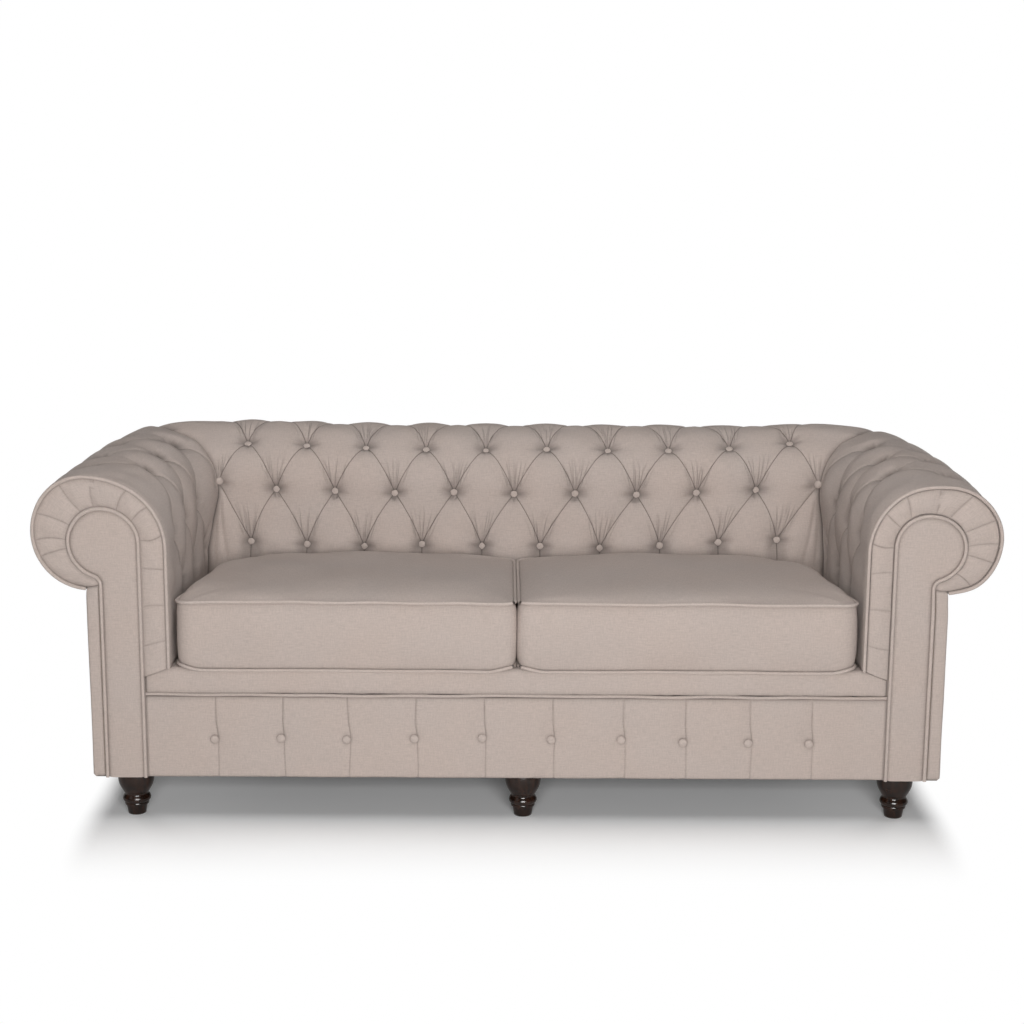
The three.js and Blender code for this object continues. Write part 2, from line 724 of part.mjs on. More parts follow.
function outsideBack() {
  const outer = CORNER_R + WALL_SET_OUT;
  const inner = outer - SHEET_T;
  return raised([
    ...cornerArc(outer, RIGHT, 0, Math.PI / 2),
    ...cornerArc(outer, LEFT, Math.PI / 2, 0),
    ...cornerArc(inner, LEFT, 0, Math.PI / 2),
    ...cornerArc(inner, RIGHT, Math.PI / 2, 0),
  ], BODY_Z, WALL_TOP);
}

add('outside_back', outsideBack(), FABRIC);
for (const hand of [LEFT, RIGHT]) add(`outside_arm_${side(hand)}`, handed(outsideArm(), hand), FABRIC);

// The pleated apron over the front rail, its piping, and the padded border above them

function apron() {
  const half = (APRON_BUTTONS * APRON_PITCH) / 2;
  const pleats = spread(APRON_PITCH / 2 - half, half - APRON_PITCH / 2, APRON_BUTTONS - 1);
  const marks = pleats.flatMap((x) => [x - APRON_PITCH / 2, x - APRON_PLEAT_HALF, x, x + APRON_PLEAT_HALF]);
  const places = [-APRON_X, ...marks, half, APRON_X];
  const top = APRON_TOP - PIPE_R - FIT;
  const drops = [0, 0.25, 0.43, 0.5, 0.57, 0.75, 1];
  const heights = drops.map((share) => {
    return share < 0.5
      ? BODY_Z + (APRON_BUTTON_Z - BODY_Z) * share * 2
      : APRON_BUTTON_Z + (top - APRON_BUTTON_Z) * (share * 2 - 1);
  });
  const face = FRONT_Y + APRON_SET;
  const front = heights.map((z) => places.map((x) => {
    const near = Math.min(...pleats.map((pleat) => Math.abs(x - pleat)));
    const tight = Math.exp(-(((z - APRON_BUTTON_Z) / BUTTON_SPREAD) ** 2));
    const fold = near < APRON_PLEAT_HALF / 2 ? APRON_PLEAT * (1 + tight) / 2 : 0;
    return new THREE.Vector3(x, face + fold + (near < APRON_PLEAT_HALF * 2 ? tight : 0), z);
  }));
  const back = [heights[0], top].map((z) => {
    return [-APRON_X, APRON_X].map((x) => new THREE.Vector3(x, APRON_REAR_Y, z));
  });
  const forward = new THREE.Vector3(0, -1, 0);
  const sunk = face + APRON_PLEAT;
  const buttons = pleats.map((x) => button(new THREE.Vector3(x, sunk, APRON_BUTTON_Z), forward));
  return join(panel(front, back), ...buttons);
}

function border() {
  const face = FRONT_Y + BORDER_SET;
  const rear = face + BORDER_T;
  const low = APRON_TOP + PIPE_R + FIT;
  const rounded = spread(Math.PI, Math.PI / 2, 3).map((angle) => {
    return [face + BORDER_ROUND * (1 + Math.cos(angle)), DECK_Z - BORDER_ROUND * (1 - Math.sin(angle))];
  });
  const over = [...rounded].reverse();
  const step = [[RAIL_FRONT, low], [RAIL_FRONT, CROSS_Z], [rear, CROSS_Z], [rear, DECK_Z]];
  const middle = drawnAcross([[face, low], ...step, ...over], -BETWEEN_X, BETWEEN_X);
  const ends = [[BOARD_BACK, low], [BOARD_BACK, DECK_Z]];
  const lip = drawnAcross([[face, low], ...ends, ...over], -APRON_X, APRON_X);
  const slants = [LEFT, RIGHT].map((hand) => handed(pushedBack([
    [ARM_FACE_X + 2 * PIPE_R, DECK_Z],
    [APRON_X, DECK_Z - BAND_SEAM_DROP],
    [LEG_IN, DECK_Z - BAND_SEAM_DROP],
    [LEG_IN, DECK_Z + OVERRUN],
    [ARM_FACE_X + 2 * PIPE_R, DECK_Z + OVERRUN],
  ], FRONT_Y - OVERRUN, FACE_Y), hand));
  return cut(join(middle, lip), ...slants);
}

add('apron', apron(), FABRIC);
add('apron_piping', piping([-APRON_X, APRON_X].map((x) => {
  return new THREE.Vector3(x, FRONT_Y + APRON_SET + PIPE_R * 0.6, APRON_TOP);
})), PIPING);
add('front_border', border(), FABRIC);

// Frame

const INNER_LINE = INNER_SHARES.map((share) => section(share, 0, CORE_INSET));
const BACK_LINE = INNER_SHARES.map((share) => section(share, BACK_LEAN, CORE_INSET));

// The part of a section line that lies above a height
function above(line, height) {
  const kept = [];
  line.forEach((point, k) => {
    const before = line[k - 1];
    if (before && (before.z < height) !== (point.z < height)) {
      const share = (height - before.z) / (point.z - before.z);
      kept.push({ u: before.u + (point.u - before.u) * share, z: height });
    }
    if (point.z >= height) kept.push(point);
  });
  return kept;
}

function leanFront(z, inset) {
  const u = -CROWN_SET_IN - (CROWN_R - inset) / Math.cos(BACK_LEAN) - (CROWN_Z - z) * Math.tan(BACK_LEAN);
  return ROLL_Y + u;
}

function armFrontBoard() {
  const scroll = INNER_LINE.slice(1).map(({ u, z }) => [ROLL_X + u, z]);
  const legX = APRON_X + FIT;
  return pushedBack([
    [TIMBER_X, RAIL_Z],
    [TIMBER_X, ROLL_Z - Math.sqrt((ROLL_R - CORE_INSET) ** 2 - (TIMBER_X - ROLL_X) ** 2)],
    ...scroll.reverse(),
    [INNER_X, COVER_FOOT_Z],
    [legX, COVER_FOOT_Z],
    [legX, RAIL_Z],
  ], FACE_Y, BOARD_BACK);
}

// Keeps one side of the mitre that runs in from a rear corner at 45 degrees
function mitre(geometry, keepArm, hand) {
  const reach = ROLL_R + CROWN_R;
  const tip = [CORNER_X - reach, CORNER_Y - reach];
  const gap = keepArm ? -FIT : FIT;
  const end = keepArm ? [CORNER_X - reach, CORNER_Y + gap] : [CORNER_X, CORNER_Y - reach + gap];
  const wedge = raised([[CORNER_X, CORNER_Y + gap], [tip[0], tip[1] + gap], end], 0, HEIGHT);
  return cut(geometry, handed(bare(wedge), hand));
}

function armCore() {
  const line = above(INNER_LINE, CORE_Z).map(({ u, z }) => [ROLL_X + u, z]);
  return mitre(pushedBack(line, BOARD_BACK + FIT, CORNER_Y - FIT), true, RIGHT);
}

function backCore() {
  const line = above(BACK_LINE, CORE_Z).map(({ u, z }) => [ROLL_Y + u, z]);
  const bar = drawnAcross(line, -CORNER_X + FIT, CORNER_X - FIT);
  return mitre(mitre(bar, false, RIGHT), false, LEFT);
}

function rearPost() {
  const near = [CORNER_X - POST_SET, CORNER_Y - POST_SET];
  const round = cornerArc(TIMBER_X - CORNER_X, RIGHT, 0, Math.PI / 2);
  const post = raised([near, [TIMBER_X, near[1]], ...round, [near[0], TIMBER_Y]], RAIL_Z, CORE_FOOT_Z);
  const line = above(INNER_LINE, CORE_Z).map(({ u, z }) => [CORNER_R + u, z]);
  const outside = line.findIndex(([r]) => r > 0);
  const [a, b] = [line[outside - 1], line[outside]];
  const top = a[1] + ((b[1] - a[1]) * -a[0]) / (b[0] - a[0]);
  const foot = CORE_FOOT_Z - POST_PLUG_L;
  const plug = [[0, foot], [POST_PLUG_R, foot], [POST_PLUG_R, CORE_Z]];
  const profile = [...plug, ...line.slice(outside).reverse(), [0, top]];
  const points = profile.map(([r, z]) => new THREE.Vector2(r, z));
  const turned = new THREE.LatheGeometry(points, CORNER_STEPS * 8);
  turned.rotateX(Math.PI / 2).translate(CORNER_X, CORNER_Y, 0);
  const quarter = boxFrom([CORNER_X + FIT, CORNER_Y + FIT, 0], [WIDTH, DEPTH, HEIGHT]);
  return join(post, common(turned, quarter));
}

function boltHole([x, y]) {
  const hole = new THREE.CylinderGeometry(BOLT_R + FIT, BOLT_R + FIT, BOLT_L + OVERRUN, FOOT_SEGMENTS);
  return hole.rotateX(Math.PI / 2).translate(x, y, FOOT_H + (BOLT_L - OVERRUN) / 2 + 2 * FIT);
}

const FOOT_X = TIMBER_X - FOOT_SET_IN;
const FRONT_FOOT_Y = FRONT_Y + FOOT_SET_BACK;
const REAR_FOOT_Y = CORNER_Y + REAR_FOOT_SET;
const FEET = {
  foot_front_left: [-FOOT_X, FRONT_FOOT_Y],
  foot_front_middle: [MIDDLE_FOOT_X, FRONT_FOOT_Y],
  foot_front_right: [FOOT_X, FRONT_FOOT_Y],
  foot_rear_left: [-CORNER_X - REAR_FOOT_SET, REAR_FOOT_Y],
  foot_rear_middle: [MIDDLE_FOOT_X, REAR_FOOT_Y],
  foot_rear_right: [CORNER_X + REAR_FOOT_SET, REAR_FOOT_Y],
};

const POST_FRONT = CORNER_Y - POST_SET - FIT;
const POST_INSIDE = CORNER_X - POST_SET - FIT;
const SIDE_RAIL_X = TIMBER_X - RAIL_T;
const BLOCK_TOP = RAIL_Z + PLANK_T;

function centrePlank() {
  const [left, right] = [LEFT, RIGHT].map((hand) => MIDDLE_FOOT_X + (hand * PLANK_W) / 2);
  const plank = boxFrom([left, RAIL_BACK + FIT, RAIL_Z], [right, REAR_RAIL_FRONT - FIT, BLOCK_TOP]);
  return cut(plank, boltHole(FEET.foot_front_middle), boltHole(FEET.foot_rear_middle));
}

add('front_rail', boxFrom([-BETWEEN_X, RAIL_FRONT, RAIL_Z], [BETWEEN_X, RAIL_BACK, RAIL_TOP]), TIMBER);
add('rear_rail', boxFrom([-POST_INSIDE, REAR_RAIL_FRONT, RAIL_Z], [POST_INSIDE, TIMBER_Y, RAIL_TOP]), TIMBER);
add('centre_plank', centrePlank(), TIMBER);
add('back_board', drawnAcross([
  [leanFront(STUFFING_Z, CORE_INSET), STUFFING_Z],
  [leanFront(STUFFING_Z, CORE_INSET + BACK_BOARD_T), STUFFING_Z],
  [leanFront(CORE_FOOT_Z, CORE_INSET + BACK_BOARD_T), CORE_FOOT_Z],
  [leanFront(CORE_FOOT_Z, CORE_INSET), CORE_FOOT_Z],
], -BETWEEN_X, BETWEEN_X), TIMBER);
add('back_roll_core', backCore(), FOAM);

for (const hand of [LEFT, RIGHT]) {
  const name = side(hand);
  const front = BOARD_BACK + FIT;
  const inner = INNER_X + BOARD_T;
  const block = boxFrom([inner + FIT, front, RAIL_Z], [SIDE_RAIL_X - FIT, front + BLOCK_D, BLOCK_TOP]);
  const board = boxFrom([INNER_X, front, RAIL_Z], [inner, REAR_RAIL_FRONT - FIT, CORE_FOOT_Z]);
  const rail = boxFrom([SIDE_RAIL_X, front, RAIL_Z], [TIMBER_X, POST_FRONT, RAIL_TOP]);
  add(`arm_front_board_${name}`, handed(armFrontBoard(), hand), TIMBER);
  add(`arm_inner_board_${name}`, handed(board, hand), TIMBER);
  add(`side_rail_${name}`, handed(rail, hand), TIMBER);
  add(`foot_block_${name}`, handed(cut(block, boltHole(FEET.foot_front_right)), hand), TIMBER);
  add(`rear_post_${name}`, handed(cut(rearPost(), boltHole(FEET.foot_rear_right)), hand), TIMBER);
  add(`arm_roll_core_${name}`, handed(armCore(), hand), FOAM);
}

// Seat platform: webbing from front to back, two straps across, and the stuffed deck

spread(-BETWEEN_X, BETWEEN_X, STRAPS * 2).filter((x, k) => k % 2).forEach((x, k) => {
  add(`seat_strap_${k + 1}`, boxFrom(
    [x - STRAP_W / 2, RAIL_FRONT + END_SET, STRAP_Z],
    [x + STRAP_W / 2, TIMBER_Y - END_SET, STRAP_Z + STRAP_T]), WEBBING);
});

spread(RAIL_BACK, leanFront(STUFFING_Z, CORE_INSET), CROSS_STRAPS + 1).slice(1, -1).forEach((y, k) => {
  const top = CROSS_Z + STRAP_T;
  const outer = BETWEEN_X - FIT;
  const inner = outer - STRAP_T;
  const low = top - STRAP_TAIL;
  add(`cross_strap_${k + 1}`, pushedBack([
    [-outer, low], [-inner, low], [-inner, CROSS_Z], [inner, CROSS_Z],
    [inner, low], [outer, low], [outer, top], [-outer, top],
  ], y - STRAP_W / 2, y + STRAP_W / 2), WEBBING);
});

const DECK_FRONT = FRONT_Y + BORDER_SET + BORDER_T + FIT;
add('seat_deck', drawnAcross([
  [DECK_FRONT, STUFFING_Z],
  [leanFront(STUFFING_Z, CORE_INSET) - FIT, STUFFING_Z],
  [leanFront(DECK_Z, CORE_INSET) - FIT, DECK_Z],
  [DECK_FRONT, DECK_Z],
], -BETWEEN_X, BETWEEN_X), FOAM);

function dustCover() {
  const reach = TIMBER_X - DUST_INSET;
  const front = RAIL_FRONT + DUST_INSET;
  const outline = [
    [-reach, front],
    [reach, front],
    ...cornerArc(reach - CORNER_X, RIGHT, 0, Math.PI / 2),
    ...cornerArc(reach - CORNER_X, LEFT, Math.PI / 2, 0),
  ];
  return cut(raised(outline, BODY_Z, BODY_Z + DUST_T), ...Object.values(FEET).map(boltHole));
}
add('dust_cover', dustCover(), DUST_CLOTH);

// Turned feet, each with its bolt, as shares of the foot's radius and height

const FOOT_SHARES = [
  [0, 0], [0.42, 0], [0.475, 0.03], [0.535, 0.195], [0.62, 0.235], [0.64, 0.265], [0.73, 0.295],
  [0.77, 0.36], [0.73, 0.42], [0.645, 0.475], [0.72, 0.53], [0.83, 0.61], [0.94, 0.69], [1, 0.8], [1, 1],
];

function foot([x, y]) {
  const turned = FOOT_SHARES.map(([r, h]) => new THREE.Vector2(r * FOOT_R, h * FOOT_H));
  const bolt = [[BOLT_R, FOOT_H], [BOLT_R, FOOT_H + BOLT_L], [0, FOOT_H + BOLT_L]];
  const profile = [...turned, ...bolt.map(([r, h]) => new THREE.Vector2(r, h))];
  return new THREE.LatheGeometry(profile, FOOT_SEGMENTS).rotateX(Math.PI / 2).translate(x, y, 0);
}
for (const [name, place] of Object.entries(FEET)) add(name, foot(place), DARK_WOOD);

// Loose seat cushions with piping along both edges of the boxing

const CUSHION_W = ARM_FACE_X - CUSHION_SIDE_GAP - CUSHION_GAP / 2;
const CUSHION_X = CUSHION_GAP / 2 + CUSHION_W / 2;
const CUSHION_FRONT = FRONT_Y + CUSHION_FRONT_SET;
const CUSHION_D = leanFront(COVER_FOOT_Z, 0) - CUSHION_REAR_GAP - CUSHION_FRONT;
const CUSHION_Y = CUSHION_FRONT + CUSHION_D / 2;
const CUSHION_SEAM = DECK_Z + FIT + PIPE_R;
const CUSHION_SIDE_STEPS = 5;
const CUSHION_CORNER_STEPS = 4;

// How far back a place on a cushion lies, from 0 at the front to 1 at the rear
function rearShare(y) {
  return THREE.MathUtils.clamp(y / CUSHION_D + 1 / 2, 0, 1);
}

// Height of the top seam, which falls towards the rear
function topSeam(y) {
  return CUSHION_SEAM + CUSHION_BOXING - CUSHION_FALL * rearShare(y);
}

function cushionCorner(sx, sy) {
  const r = sx > 0 && sy > 0 ? CUSHION_OUTER_R : CUSHION_CORNER_R;
  return { r, x: sx * (CUSHION_W / 2 - r), y: sy * (CUSHION_D / 2 - r) };
}

// Narrows the side next to the arm towards the rear
function narrowed([x, y, nx, ny]) {
  const share = Math.max(x, 0) / (CUSHION_W / 2);
  return [x - CUSHION_NARROWING * share * rearShare(y), y, nx, ny];
}

// Plan outline of the right cushion from the middle of its rear edge, with sides drawn in
// between the corners; each entry holds a point and its outward direction
function cushionOutline() {
  const turns = [[1, 1], [1, -1], [-1, -1], [-1, 1]];
  const points = [];
  turns.forEach(([sx, sy], k) => {
    const corner = cushionCorner(sx, sy);
    const start = Math.PI / 2 - (k * Math.PI) / 2;
    spread(start, start - Math.PI / 2, CUSHION_CORNER_STEPS).forEach((angle) => {
      const [nx, ny] = [Math.cos(angle), Math.sin(angle)];
      points.push([corner.x + corner.r * nx, corner.y + corner.r * ny, nx, ny]);
    });
    const end = start - Math.PI / 2;
    const [nx, ny] = [Math.round(Math.cos(end)), Math.round(Math.sin(end))];
    const next = cushionCorner(...turns[(k + 1) % turns.length]);
    const from = points[points.length - 1];
    const to = [next.x + next.r * nx, next.y + next.r * ny];
    spread(0, 1, CUSHION_SIDE_STEPS + 1).slice(1, -1).forEach((share) => {
      const drawn = CUSHION_DRAW_IN * Math.sin(Math.PI * share);
      const x = from[0] + (to[0] - from[0]) * share - nx * drawn;
      const y = from[1] + (to[1] - from[1]) * share - ny * drawn;
      points.push([x, y, nx, ny]);
    });
  });
  const middle = points.length - (CUSHION_SIDE_STEPS - 1) / 2 - 1;
  return [...points.slice(middle), ...points.slice(0, middle)].map(narrowed);
}

// Share of the crown's height at a place on a cushion: full in the middle, lowest at the corners
function lidShare(x, y) {
  const shares = [(2 * x) / CUSHION_W, (2 * y) / CUSHION_D];
  const [a, b] = shares.map((share) => 1 - Math.abs(share) ** LID_SQUARENESS);
  return (a * b) ** LID_FULLNESS;
}

function cushionBody() {
  const outline = cushionOutline();
  const foot = DECK_Z + FIT;
  const ring = (offset, height) => outline.map(([x, y, nx, ny]) => {
    return new THREE.Vector3(x + nx * offset, y + ny * offset, height(y));
  });
  const rise = CUSHION_CROWN - CUSHION_NOTCH;
  const lidPoint = (x, y) => {
    return new THREE.Vector3(x, y, topSeam(y) + CUSHION_NOTCH + rise * lidShare(x, y));
  };
  const lidRings = LID_RING_SHARES.map((scale) => outline.map(([x, y]) => lidPoint(x * scale, y * scale)));
  const rings = [
    ring(-CUSHION_NOTCH, () => foot),
    ring(-CUSHION_NOTCH, () => CUSHION_SEAM),
    ring(0, () => CUSHION_SEAM + CUSHION_NOTCH),
    ring(CUSHION_BELLY, (y) => (CUSHION_SEAM + topSeam(y)) / 2),
    ring(0, (y) => topSeam(y) - CUSHION_NOTCH),
    ring(-CUSHION_NOTCH, topSeam),
    ring(-CUSHION_NOTCH / 4, (y) => topSeam(y) + CUSHION_NOTCH),
    ...lidRings,
  ];
  const closed = rings.map((points) => [...points, points[0]]);
  const cap = (points, tip) => points.slice(1).map((point, k) => [tip, point, points[k]]);
  const lid = cap(closed[closed.length - 1], lidPoint(0, 0)).map(([a, b, c]) => [a, c, b]);
  return closedSkin([...gridFaces(closed), ...cap(closed[0], new THREE.Vector3(0, 0, foot)), ...lid]);
}

function cushionPiping(height) {
  const outline = cushionOutline();
  const [x, y] = outline[0];
  const ends = [x + FIT, x - FIT].map((place) => new THREE.Vector3(place, y, height(y)));
  const round = outline.slice(1).map((point) => new THREE.Vector3(point[0], point[1], height(point[1])));
  return piping([ends[0], ...round, ends[1]]);
}

for (const hand of [LEFT, RIGHT]) {
  const name = side(hand);
  const loose = new THREE.Group();
  loose.position.set(hand * CUSHION_X, CUSHION_Y, 0);
  sofa.add(loose);
  loose.add(add(`cushion_${name}`, handed(cushionBody(), hand), FABRIC));
  loose.add(add(`cushion_top_piping_${name}`, handed(cushionPiping(topSeam), hand), PIPING));
  loose.add(add(`cushion_lower_piping_${name}`, handed(cushionPiping(() => CUSHION_SEAM), hand), PIPING));
}

export default sofa;
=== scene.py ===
import json
import math
from contextlib import contextmanager

import bmesh
import bpy
import numpy as np
from mathutils import Matrix, Vector
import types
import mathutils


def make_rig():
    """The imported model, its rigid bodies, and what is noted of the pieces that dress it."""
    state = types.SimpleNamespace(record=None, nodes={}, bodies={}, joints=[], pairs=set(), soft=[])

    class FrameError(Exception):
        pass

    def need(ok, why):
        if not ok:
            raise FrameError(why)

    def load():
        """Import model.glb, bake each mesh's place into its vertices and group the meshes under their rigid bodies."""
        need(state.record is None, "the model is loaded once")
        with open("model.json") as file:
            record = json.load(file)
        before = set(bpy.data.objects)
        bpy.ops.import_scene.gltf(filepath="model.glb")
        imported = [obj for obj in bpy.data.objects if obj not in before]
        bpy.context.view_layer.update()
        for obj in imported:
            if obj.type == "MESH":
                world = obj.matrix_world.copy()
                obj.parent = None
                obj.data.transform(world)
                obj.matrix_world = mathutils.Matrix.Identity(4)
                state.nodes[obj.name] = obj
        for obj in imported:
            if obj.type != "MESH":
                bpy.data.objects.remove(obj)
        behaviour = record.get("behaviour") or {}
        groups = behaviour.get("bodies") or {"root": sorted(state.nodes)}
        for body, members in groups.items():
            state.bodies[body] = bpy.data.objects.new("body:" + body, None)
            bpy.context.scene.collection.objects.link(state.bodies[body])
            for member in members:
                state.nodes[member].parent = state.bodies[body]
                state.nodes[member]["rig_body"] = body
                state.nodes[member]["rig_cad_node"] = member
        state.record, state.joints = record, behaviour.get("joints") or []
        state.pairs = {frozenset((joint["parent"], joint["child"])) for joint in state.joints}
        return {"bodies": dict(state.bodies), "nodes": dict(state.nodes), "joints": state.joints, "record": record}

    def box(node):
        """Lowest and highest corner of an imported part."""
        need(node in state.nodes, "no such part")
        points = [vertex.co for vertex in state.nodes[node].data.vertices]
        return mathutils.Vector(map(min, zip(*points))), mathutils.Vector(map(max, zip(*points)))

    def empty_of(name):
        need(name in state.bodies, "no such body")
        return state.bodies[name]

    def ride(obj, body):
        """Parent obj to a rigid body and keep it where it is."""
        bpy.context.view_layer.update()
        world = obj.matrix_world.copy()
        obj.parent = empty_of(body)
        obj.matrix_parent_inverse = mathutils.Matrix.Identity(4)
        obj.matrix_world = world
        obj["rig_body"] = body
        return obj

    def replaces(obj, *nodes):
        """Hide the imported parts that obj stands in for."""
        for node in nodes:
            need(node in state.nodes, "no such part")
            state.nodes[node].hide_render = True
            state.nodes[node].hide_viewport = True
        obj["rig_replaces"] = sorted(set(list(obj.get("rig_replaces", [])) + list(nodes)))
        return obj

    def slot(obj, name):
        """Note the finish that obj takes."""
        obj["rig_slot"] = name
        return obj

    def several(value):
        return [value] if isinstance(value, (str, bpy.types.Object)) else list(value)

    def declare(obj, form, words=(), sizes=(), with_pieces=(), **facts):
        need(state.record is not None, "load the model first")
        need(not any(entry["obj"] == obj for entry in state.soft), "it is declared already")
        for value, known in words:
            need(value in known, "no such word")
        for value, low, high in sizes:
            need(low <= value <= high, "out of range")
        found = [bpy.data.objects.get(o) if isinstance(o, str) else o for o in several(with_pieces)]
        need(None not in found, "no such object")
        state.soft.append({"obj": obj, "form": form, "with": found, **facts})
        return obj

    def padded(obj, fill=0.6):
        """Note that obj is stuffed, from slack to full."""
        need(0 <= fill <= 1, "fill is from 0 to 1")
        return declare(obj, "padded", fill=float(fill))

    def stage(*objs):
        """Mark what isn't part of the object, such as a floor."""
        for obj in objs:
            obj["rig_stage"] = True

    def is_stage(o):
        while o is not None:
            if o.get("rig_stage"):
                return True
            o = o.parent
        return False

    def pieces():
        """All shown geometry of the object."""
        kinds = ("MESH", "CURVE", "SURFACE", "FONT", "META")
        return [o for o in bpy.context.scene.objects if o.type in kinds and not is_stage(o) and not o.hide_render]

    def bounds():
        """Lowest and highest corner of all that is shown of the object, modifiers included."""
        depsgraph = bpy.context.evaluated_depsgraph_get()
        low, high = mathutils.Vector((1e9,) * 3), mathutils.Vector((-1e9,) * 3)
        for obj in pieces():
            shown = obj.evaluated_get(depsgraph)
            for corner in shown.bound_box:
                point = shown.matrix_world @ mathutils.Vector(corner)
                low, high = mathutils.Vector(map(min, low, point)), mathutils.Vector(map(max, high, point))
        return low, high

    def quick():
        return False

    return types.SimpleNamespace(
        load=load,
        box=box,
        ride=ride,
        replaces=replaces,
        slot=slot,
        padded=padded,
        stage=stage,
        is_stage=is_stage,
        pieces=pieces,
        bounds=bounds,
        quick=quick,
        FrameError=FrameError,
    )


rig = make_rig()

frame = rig.load()
cad_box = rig.bounds()
bpy.ops.object.select_all(action="DESELECT")

# camera

CAMERA_PLACE = (-0.027, -4.333, 1.490)
CAMERA_PITCH = math.radians(11.59)
CAMERA_YAW = math.radians(0.217)
CAMERA_ROLL = math.radians(0.38)
FOCAL_PIXELS = 1879
FRAME_PIXELS = 1024
SENSOR = 36


def make_camera():
    """The camera, at the photograph's place and angle."""
    bpy.ops.object.camera_add(location=CAMERA_PLACE)
    camera = bpy.context.object
    ahead = Vector((
        math.sin(CAMERA_YAW) * math.cos(CAMERA_PITCH),
        math.cos(CAMERA_YAW) * math.cos(CAMERA_PITCH),
        -math.sin(CAMERA_PITCH),
    ))
    level = ahead.cross(Vector((0, 0, 1))).normalized()
    upright = level.cross(ahead)
    across = math.cos(CAMERA_ROLL) * level + math.sin(CAMERA_ROLL) * upright
    up = -math.sin(CAMERA_ROLL) * level + math.cos(CAMERA_ROLL) * upright
    turn = Matrix((across, up, -ahead)).transposed()
    camera.rotation_euler = turn.to_euler()
    camera.data.sensor_width = SENSOR
    camera.data.lens = FOCAL_PIXELS * SENSOR / FRAME_PIXELS
    bpy.context.scene.camera = camera
    return camera


make_camera()

# sizes, in metres

LEFT, RIGHT = -1, 1
SIDES = {LEFT: "left", RIGHT: "right"}
WIDTH, DEPTH, HEIGHT = 2.060, 0.900, 0.760
ROLL_R = 0.122
CROWN_R = 0.152
CROWN_SET_IN = 0.013
WALL_SET_OUT = 0.011
CORNER_R = 0.058
BACK_LEAN = math.radians(9.7)
DECK_Z = 0.345
COVER_FOOT_Z = 0.3453
BODY_Z = 0.0993
PIPE_R = 0.0045
WELT_R = 0.0037
WELT_SIDES = 12
ROLL_X = WIDTH / 2 - ROLL_R
ROLL_Y = DEPTH / 2 - ROLL_R
ROLL_Z = HEIGHT - ROLL_R
CROWN_Z = HEIGHT - CROWN_R
FRONT_Y = -DEPTH / 2
PIPE_Y = FRONT_Y + PIPE_R
FACE_Y = PIPE_Y + PIPE_R + 0.0003
ARM_FACE_X = ROLL_X - CROWN_SET_IN - CROWN_R
WALL_X = ROLL_X + WALL_SET_OUT
CORNER_X = ROLL_X - CORNER_R
CORNER_Y = ROLL_Y - CORNER_R
WALL_ANGLE = math.acos(WALL_SET_OUT / ROLL_R)

LEAN_TOP_Z = CROWN_Z + CROWN_R * math.sin(BACK_LEAN)
FACE_LENGTH = (LEAN_TOP_Z - COVER_FOOT_Z) / math.cos(BACK_LEAN)
CROWN_LENGTH = CROWN_R * (math.pi / 2 - BACK_LEAN)
ROLL_LENGTH = ROLL_R * (math.pi / 2 + WALL_ANGLE)
COVER_LENGTH = FACE_LENGTH + CROWN_LENGTH + CROWN_SET_IN + ROLL_LENGTH

# shader maths


class Socket:
    """An output of a node; arithmetic on it adds Math nodes."""

    def __init__(self, finish, socket):
        self.finish = finish
        self.socket = socket

    def maths(self, operation, *others):
        values = dict(enumerate([self, *others]))
        return self.finish.node("ShaderNodeMath", {"operation": operation}, values)

    def __add__(self, other):
        return self.maths("ADD", other)

    __radd__ = __add__

    def __mul__(self, other):
        return self.maths("MULTIPLY", other)

    __rmul__ = __mul__

    def __sub__(self, other):
        return self.maths("SUBTRACT", other)

    def __rsub__(self, other):
        return self.finish.node("ShaderNodeMath", {"operation": "SUBTRACT"}, {0: other, 1: self})

    def __truediv__(self, other):
        return self.maths("DIVIDE", other)

    def __pow__(self, other):
        return self.maths("POWER", other)

    def __abs__(self):
        return self.maths("ABSOLUTE")

    def __round__(self):
        return self.maths("ROUND")

    def sine(self):
        return self.maths("SINE")

    def most(self, other):
        return self.maths("MAXIMUM", other)

    def least(self, other):
        return self.maths("MINIMUM", other)

    def other(self, number):
        """Another output of the same node."""
        return Socket(self.finish, self.socket.node.outputs[number])

    def step(self, low, high, to_low=0.0, to_high=1.0):
        """Runs smoothly from to_low at low to to_high at high."""
        settings = {"interpolation_type": "SMOOTHSTEP"}
        values = {0: self, 1: low, 2: high, 3: to_low, 4: to_high}
        return self.finish.node("ShaderNodeMapRange", settings, values)


